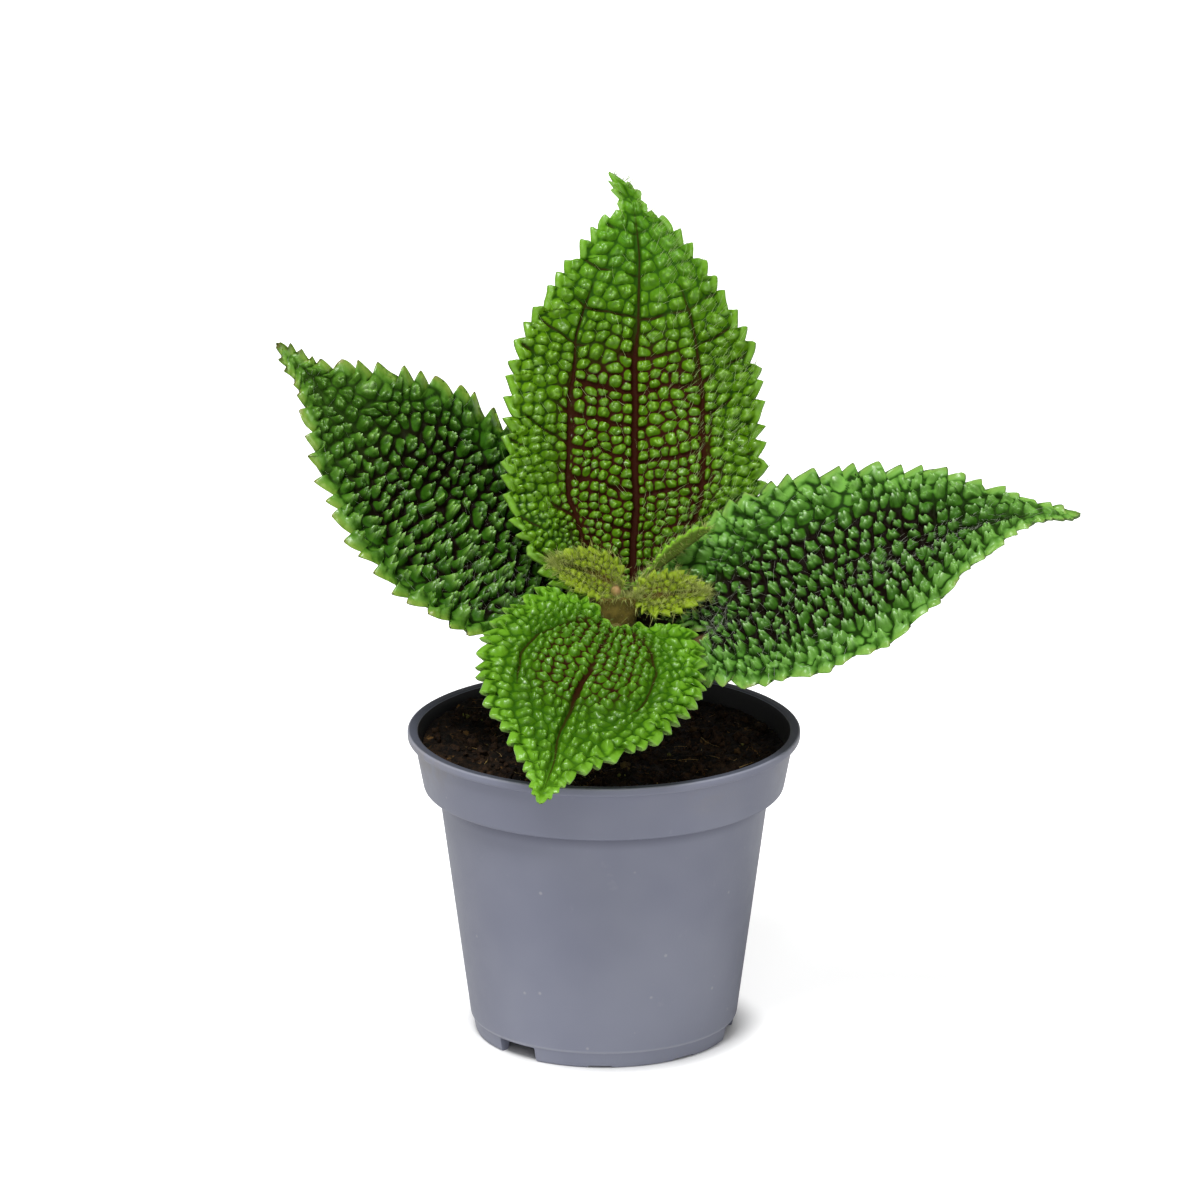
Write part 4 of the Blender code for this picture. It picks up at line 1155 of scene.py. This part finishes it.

# %% [markdown]
# The plastic is a grey-blue polypropylene, satin from the mould. It has a fine grain, faint flow marks, a
# few scuffs and specks of dried mix, and it is dustier near the rim. Painted into its colour are also
# highlights along the rim's outer edge and along the top of the foot band, shade in a band under the
# collar, and shade inside the pot together with the dried mix there.

# %% Pot material
plastic = Finish("pot_plastic", Specular_IOR_Level=0.4)
grain = plastic.noise(2600, 2.0)
flow = plastic.noise(28, 3.0, 0.6)
scuff = plastic.noise(340, 4.0, 0.7)
chosen = plastic.first_of(plastic.speckle(420, output="Color"))
speck = (1 - plastic.speckle(420).rise(0.06, 0.16)) * chosen.rise(0.86, 0.9)
grime_and_shade, rim_highlight, ring = plastic.painted("wall")[:3]
level = plastic.node("ShaderNodeSeparateXYZ", {}, {0: plastic.place()}, output="Z")
# painted shade in a band under the collar
collar_shade = level.rise(0.0364, 0.0384) * (1 - level.rise(0.0390, 0.0392))  # in the shade of the collar
# a painted highlight along the top edge of the foot band
foot_highlight = level.rise(0.0023, 0.0026) * (1 - level.rise(0.0027, 0.0030))
dust = level.rise(0.040, 0.0465) * flow.rise(0.42, 0.62) * scuff.rise(0.35, 0.6)
crust_and_shade = (grime_and_shade + (scuff - 0.5) * 0.5).rise(0.3, 0.7)
pot_colour = plastic.layered(
    plastic.mix(flow.rise(0.3, 0.7), srgb(119, 122, 139), srgb(131, 134, 149)),
    (scuff.rise(0.62, 0.8), 0.35, (146, 149, 160)),
    (speck, 0.5, (170, 171, 176)),
    (dust, 0.4, (140, 132, 122)),
    # painted shade under the collar
    (collar_shade, 0.45, (78, 80, 98)),
    # painted highlight on the foot band
    (foot_highlight, 0.35, (176, 178, 188)),
    (ring, 0.95, (66, 70, 84)),
    # painted highlight on the rim's outer edge
    (rim_highlight, 0.25, (186, 188, 198)),
    # dried mix and painted shade on the inner wall
    (crust_and_shade, 0.94, (22, 19, 16)),
)
pot_rough = 0.44 + (scuff - 0.5) * 0.2 + speck * 0.2
pot_material = plastic.surface(
    Base_Color=pot_colour, Roughness=pot_rough, Normal=plastic.bump(grain + flow * 4, 0.12, 0.00012)
)
dressed(pot, pot_material, "pot_plastic", "pot", angle=32)

# %% [markdown]
# ## The potting mix
# Peat and coir fill the pot to just under the rim. Seen close, it is a dark crumbly ground with lumps of
# every size, a few straw-coloured fibres and green flecks. The ground is a disc raised by noise and closed
# below; the crumbs and fibres are small pieces that lie on it.

# %% Ground of the mix
SOIL_TOP, SOIL_FLOOR, SOIL_RADIUS = 45.2, FLOOR + WALL + 0.3, COLLAR_TOP_RADIUS - WALL - 0.45
SOIL_EDGE, SOIL_SLOPE = SOIL_TOP - 0.3, 0.0175  # it rises to the back and to the left


def mix_height(x, y):
    """Height of the mix: a slope with a bank at the back, hollows and crumbs."""
    slope = SOIL_SLOPE * (y - x)
    big = noise.noise((x * 0.13, y * 0.13, 3.0)) * 0.9
    lumps = noise.fractal((x * 0.55, y * 0.55, 7.0), 0.7, 2.2, 3) * 0.55
    cell = noise.voronoi((x * 0.75, y * 0.75, 0.0))[0]
    fine = noise.voronoi((x * 1.9, y * 1.9, 5.0))[0]
    crumbs = 0.75 * max(0.0, 0.55 - cell[0]) + 0.35 * max(0.0, 0.5 - fine[0])
    bank = 1.7 * math.exp(-((x + 20) ** 2 + (y - 15) ** 2) / 90)
    return SOIL_TOP - 0.45 + slope + big + lumps + crumbs + bank


ground, u, v = flat_grid("potting_mix", 172, 172)
a, b = 2 * u - 1, 2 * v - 1  # the square is drawn out into a disc
reach = np.maximum(np.abs(a), np.abs(b))
length = np.sqrt(a * a + b * b) + 1e-9
disc = reach / length * SOIL_RADIUS
x, y = a * disc, b * disc
away = np.hypot(x, y) / SOIL_RADIUS
z = np.array([mix_height(px, py) for px, py in zip(x, y, strict=True)])
edge_height = SOIL_EDGE + SOIL_SLOPE * (y - x)
z = edge_height + (z - edge_height) * (1 - ease(away, 0.95, 1.0) * 0.5)
put_places(ground, np.stack([x, y, z], axis=1))
only(ground)
bpy.ops.object.mode_set(mode="EDIT")
bpy.ops.mesh.select_all(action="SELECT")
bpy.ops.mesh.region_to_loop()
LEVELS = (  # how far down the wall, and the plug's radius there
    (43.0, 27.6), (41.2, 27.0), (40.2, 26.2), (39.6, 24.2), (30.0, 22.9), (12.0, 20.5), (3.1, 19.2),
)
radius, level = SOIL_RADIUS, SOIL_EDGE
for next_level, next_radius in LEVELS:
    move = {"value": (0.0, 0.0, (next_level - level) * MM)}
    bpy.ops.mesh.extrude_edges_move(TRANSFORM_OT_translate=move)
    shrink = next_radius / radius
    bpy.ops.transform.resize(value=(shrink, shrink, 1.0), center_override=(0.0, 0.0, next_level * MM))
    radius, level = next_radius, next_level
bpy.ops.transform.resize(value=(1.0, 1.0, 0.0), center_override=(0.0, 0.0, SOIL_FLOOR * MM))
bpy.ops.mesh.edge_face_add()
bpy.ops.object.mode_set(mode="OBJECT")

# %% Mix material
peat = Finish("peat", Specular_IOR_Level=0.12)
coarse = peat.noise(330, 4.0, 0.65)
fine = peat.noise(1400, 3.0, 0.7)
bit = peat.first_of(peat.speckle(900, output="Color"))
peat_colour = peat.mix(coarse.rise(0.35, 0.7), srgb(9, 6, 4), srgb(52, 36, 22))
peat_colour = peat.mix(fine.rise(0.35, 0.6), srgb(8, 5, 3), peat_colour)
peat_colour = peat.mix(bit.rise(0.91, 0.96) * fine.rise(0.45, 0.6) * 0.8, peat_colour, srgb(112, 82, 44))
peat_material = peat.surface(
    Base_Color=peat_colour, Roughness=0.72 + (fine - 0.5) * 0.4, Normal=peat.bump(fine + coarse, 0.7, 0.0004)
)
dressed(ground, peat_material, "soil", "soil", angle=60)

# %% [markdown]
# ## Many small things
# Crumbs, fibres and hairs repeat hundreds of times. Each is modelled once, with a few dozen faces at most,
# and its copies are turned, stretched and set down in code, all in one mesh of their own.

# %% Copies of a small shape
def template(piece):
    """Vertices and triangles of a small shape, which is then removed."""
    mesh = piece.data
    mesh.calc_loop_triangles()
    verts = np.array([v.co for v in mesh.vertices])
    faces = np.array([t.vertices for t in mesh.loop_triangles])
    bpy.data.objects.remove(piece)
    return verts, faces


def many(name, verts, faces, tones):
    """One mesh from copies: verts is copies x vertices x 3, in millimetres. Each copy has a tone."""
    copies, count = verts.shape[:2]
    all_faces = (faces[None] + (np.arange(copies) * count)[:, None, None]).reshape(-1, 3)
    mesh = bpy.data.meshes.new(name)
    mesh.from_pydata((verts * MM).reshape(-1, 3), [], all_faces)
    piece = bpy.data.objects.new(name, mesh)
    bpy.context.scene.collection.objects.link(piece)
    paint(piece, "tone", (np.repeat(tones, count), 0.0, 0.0, 1.0))
    return piece


def random_turns(rng, count):
    """Rotation matrices in every direction."""
    q = rng.normal(size=(count, 4))
    q /= np.linalg.norm(q, axis=1, keepdims=True)
    w, x, y, z = q.T
    rows = [
        [1 - 2 * (y * y + z * z), 2 * (x * y - z * w), 2 * (x * z + y * w)],
        [2 * (x * y + z * w), 1 - 2 * (x * x + z * z), 2 * (y * z - x * w)],
        [2 * (x * z - y * w), 2 * (y * z + x * w), 1 - 2 * (x * x + y * y)],
    ]
    return np.array(rows).transpose(2, 0, 1)


# %% Crumbs and fibres of the mix
rng = np.random.default_rng(23)
ball, ball_faces = template(primitive("ico_sphere", subdivisions=2, radius=1.0))
CRUMBS = 760
STEM_FOOT, STEM_CLEAR = (1.3, 0.5), 3.2


def scattered(rng, count, limit):
    """Places over the disc of the mix, clear of the stem."""
    found = np.empty((0, 2))
    while len(found) < count:
        tried = rng.uniform(-limit, limit, (count, 2))
        good = (np.hypot(*tried.T) < limit) & (np.hypot(*(tried - STEM_FOOT).T) > STEM_CLEAR)
        found = np.vstack([found, tried[good]])
    return found[:count]


spots = scattered(rng, CRUMBS, SOIL_RADIUS - 1.4)
sizes = 0.22 + 0.75 * rng.random(CRUMBS) ** 3.2
lumpy = 1 + 0.28 * rng.normal(size=(CRUMBS, len(ball))).clip(-1.6, 1.6)
shapes = ball[None] * lumpy[:, :, None] * rng.uniform(0.55, 1.25, (CRUMBS, 1, 3)) * sizes[:, None, None]
shapes = np.einsum("nij,nkj->nki", random_turns(rng, CRUMBS), shapes)
heights = np.array([mix_height(px, py) for px, py in spots]) + 0.35 * sizes
crumb_verts = shapes + np.column_stack([spots, heights])[:, None, :]
crumbs = many("crumbs", crumb_verts, ball_faces, rng.random(CRUMBS))
loose = Finish("crumbs", Specular_IOR_Level=0.12)
tone = loose.painted("tone")[0]
crumb_cloud = loose.noise(1100, 3.0, 0.6)
crumb_colour = loose.layered(
    loose.mix(crumb_cloud.rise(0.3, 0.75), srgb(14, 9, 6), srgb(58, 40, 26)),
    (tone.rise(0.93, 0.96), 0.8, (84, 62, 36)),  # bark
    (tone.rise(0.975, 0.98), 0.9, (96, 100, 48)),  # moss
)
crumb_material = loose.surface(
    Base_Color=crumb_colour, Roughness=0.75 + (crumb_cloud - 0.5) * 0.3,
    Normal=loose.bump(crumb_cloud, 0.6, 0.0003),
)
dressed(crumbs, crumb_material, "soil")

# %% A tapered strand
cone = primitive("cone", vertices=3, radius1=1.0, radius2=0.0, depth=1.0, location=(0, 0, 0.5))
bpy.ops.object.transform_apply(location=True, rotation=True, scale=True)
bpy.ops.object.mode_set(mode="EDIT")
for height in (0.38, 0.72):
    bpy.ops.mesh.select_all(action="SELECT")
    bpy.ops.mesh.bisect(plane_co=(0, 0, height), plane_no=(0, 0, 1), xstart=0, xend=1, ystart=0, yend=1)
bpy.ops.object.mode_set(mode="OBJECT")
strand, strand_faces = template(cone)
print("a strand has", len(strand_faces), "triangles")


def strands(roots, directions, bends, lengths, radius):
    """Copies of the strand from roots, along directions, bending towards bends, in millimetres."""
    ahead = directions / np.linalg.norm(directions, axis=1, keepdims=True)
    helper = np.where(np.abs(ahead[:, 2:]) > 0.8, [[1.0, 0.0, 0.0]], [[0.0, 0.0, 1.0]])
    across = np.cross(ahead, helper)
    across /= np.linalg.norm(across, axis=1, keepdims=True)
    up = np.cross(ahead, across)
    t = strand[:, 2]
    thick = np.reshape(radius, (-1, 1))
    spine = (roots[:, None] + ahead[:, None] * (t[None] * lengths[:, None])[..., None]
             + bends[:, None] * ((t * t)[None] * lengths[:, None])[..., None])
    around = (across[:, None] * (strand[None, :, 0] * thick)[..., None]
              + up[:, None] * (strand[None, :, 1] * thick)[..., None])
    return spine + around


FIBRES = 130
spots = scattered(rng, FIBRES, SOIL_RADIUS - 4.0)
heights = np.array([mix_height(px, py) for px, py in spots]) + 0.15
heading = rng.uniform(0, math.tau, FIBRES)
flat_way = np.stack([np.cos(heading), np.sin(heading), rng.normal(0.02, 0.10, FIBRES)], axis=1)
sideways = np.stack([-np.sin(heading), np.cos(heading), 0 * heading], axis=1)
sideways *= rng.normal(0, 0.35, (FIBRES, 1))
fibre_lengths, fibre_radii = rng.uniform(1.2, 4.5, FIBRES), rng.uniform(0.05, 0.16, FIBRES)
fibre_verts = strands(np.column_stack([spots, heights]), flat_way, sideways, fibre_lengths, fibre_radii)
fibres = many("fibres", fibre_verts, strand_faces, rng.random(FIBRES))
straw = Finish("fibres", Specular_IOR_Level=0.3)
tone = straw.painted("tone")[0]
straw_colour = straw.mix(tone.rise(0.3, 0.95), srgb(40, 30, 18), srgb(150, 124, 76))
straw_material = straw.surface(Base_Color=straw_colour, Roughness=0.7 + straw.noise(900) * 0.2)
dressed(fibres, straw_material, "soil")

# %% [markdown]
# ## Hairs
# Every part of this plant is hairy. On the old leaves the hairs are long, white and sparse, and lie towards
# the tip; on the young ones they are short and so dense that they hide the skin. They could be a particle
# system, but an export drops that, so they are strands set down in code on the finished skins.

# %% Growing hairs on a skin
LAYERS = {"quilt": ("crest", "vein", "edge", "tone"), "where": ("along", "across", "hand", "below")}


def skin_of(piece):
    """Vertices, outward directions and painted numbers of a piece, in millimetres."""
    mesh = piece.data
    count = len(mesh.vertices)
    places, normals = np.empty(count * 3), np.empty(count * 3)
    mesh.vertices.foreach_get("co", places)
    mesh.vertex_normals.foreach_get("vector", normals)
    painted = SimpleNamespace()
    for layer, names in LAYERS.items():
        if layer in mesh.attributes:
            values = np.empty(count * 4, np.float32)
            mesh.attributes[layer].data.foreach_get("color", values)
            for name, column in zip(names, values.reshape(-1, 4).T, strict=True):
                setattr(painted, name, column)
    return places.reshape(-1, 3) / MM, normals.reshape(-1, 3), painted


def hairs(name, skin, weight, count, length, spread, ahead, outward, radius, material, seed):
    """Hairs where weight is high, on a leaf, the bud or the scale. ahead pushes them along the leaf, and
    outward off it and away from the midrib."""
    rng = np.random.default_rng(seed)
    leaf = LEAVES.get(skin)
    places, normals, painted = skin_of(blades[skin] if leaf else SMALL_SKINS[skin])
    chance = weight(painted)
    chosen = rng.choice(len(places), count, p=chance / chance.sum())
    along = side = np.zeros((count, 3))
    if leaf:
        blade = Blade(leaf)
        y = painted.along[chosen] * leaf.length
        hand = np.where(painted.hand[chosen] > 0.5, 1.0, -1.0)[:, None]
        along, side = at(blade.ahead, y, blade.run), at(blade.side, y, blade.run) * hand
    directions = normals[chosen] * outward[0] + along * ahead + side * outward[1]
    directions += rng.normal(0, spread, (count, 3))
    bends = rng.normal(0, 0.2, (count, 3)) + along * 0.12
    lengths = rng.uniform(length[0], length[1], count)
    roots = places[chosen] - normals[chosen] * 0.05
    made = strands(roots, directions, bends, lengths, radius * rng.uniform(0.7, 1.2, count))
    piece = many(name, made, strand_faces, rng.random(count))
    return dressed(piece, material, leaf.slot if leaf else "bud")


def hair_finish(name, dull, bright):
    """Hair from a dull colour to a bright one, each with its own tone."""
    finish = Finish(name, Specular_IOR_Level=0.5)
    tone = finish.painted("tone")[0]
    colour = finish.mix(tone, srgb(*dull), srgb(*bright))
    return finish.surface(Base_Color=colour, Roughness=0.35 + tone * 0.2)


SMALL_SKINS = {"bud": bud, "scale": scale}
white_hair = hair_finish("white_hair", (120, 130, 104), (214, 220, 204))
green_hair = hair_finish("green_hair", (124, 160, 64), (196, 220, 150))
young_hair = hair_finish("young_hair", (128, 146, 36), (226, 234, 142))
brown_hair = hair_finish("brown_hair", (96, 86, 34), (160, 138, 84))


# %% Where the hairs are
def on_back(skin):
    right = skin.hand * (0.3 + 1.2 * ease(skin.across, 0.2, 0.7))
    return (1 - skin.below) * (0.12 + right) * (1 - 0.55 * ease(skin.along, 0.25, 0.8)) * (0.3 + skin.crest)


def near_stalk(least, most):
    """Sparse on the whole upper side and denser near the stalk, most of all in the valleys."""
    def where(skin):
        return (1 - skin.below) * (least + most * (1 - ease(skin.along, 0.1, 0.5))) * (1.2 - skin.crest)

    return where


def on_front(skin):
    return (1 - skin.below) * (0.15 + (1 - ease(skin.along, 0.0, 0.35)))


def on_young(skin):
    return 0.35 + 0.9 * (1 - skin.below) + 0.8 * skin.edge


def along_midrib(skin):
    middle = ease(skin.along, 0.3, 0.45)
    return (1 - skin.below) * (1 - ease(skin.across, 0.08, 0.24)) * middle * (1 - ease(skin.along, 0.7, 0.85))


HAIRS = (  # name, skin, where, count, lengths, spread, ahead, outward, radius, material, seed
    ("hairs_back", "leaf_back", on_back, 1500, (1.5, 3.4), 0.2, 0.75, (0.2, 0.6), 0.034, green_hair, 31),
    ("hairs_right", "leaf_right", near_stalk(0.08, 1.6),
     420, (1.6, 4.0), 0.3, 0.5, (0.6, 0.0), 0.026, white_hair, 37),
    ("hairs_left", "leaf_left", near_stalk(0.12, 1.2),
     520, (1.2, 2.6), 0.3, 0.5, (0.7, 0.0), 0.022, white_hair, 41),
    ("hairs_front", "leaf_front", on_front, 320, (0.8, 1.8), 0.3, 0.5, (0.6, 0.0), 0.018, green_hair, 43),
    ("young_fur_left", "young_leaf_left", on_young,
     1150, (1.0, 2.2), 0.3, 0.35, (0.9, 0.35), 0.048, young_hair, 47),
    ("young_fur_right", "young_leaf_right", on_young,
     1150, (1.0, 2.2), 0.3, 0.35, (0.9, 0.35), 0.048, young_hair, 53),
    ("side_fur", "axillary_leaf", lambda skin: 0.6 + 0.4 * skin.edge,
     500, (0.8, 1.7), 0.35, 0.3, (0.8, 0.3), 0.04, young_hair, 59),
    ("bud_fur", "bud", lambda skin: 0.2 + skin.along,
     220, (0.2, 0.6), 0.35, 0.0, (1.0, 0.0), 0.025, brown_hair, 61),
    ("scale_fur", "scale", lambda skin: 0.3 + skin.along,
     260, (0.5, 1.2), 0.35, 0.0, (0.8, 0.0), 0.03, brown_hair, 67),
    ("crown_fur", "scale", lambda skin: ease(skin.along, 0.9, 1.0) + 0.001,
     340, (0.8, 1.7), 0.45, 0.0, (0.35, 0.0), 0.04, young_hair, 71),
    ("down_right", "leaf_right", along_midrib,
     420, (0.6, 1.4), 0.25, 0.8, (0.45, 0.0), 0.034, white_hair, 73),
)
for row in HAIRS:
    hairs(*row)
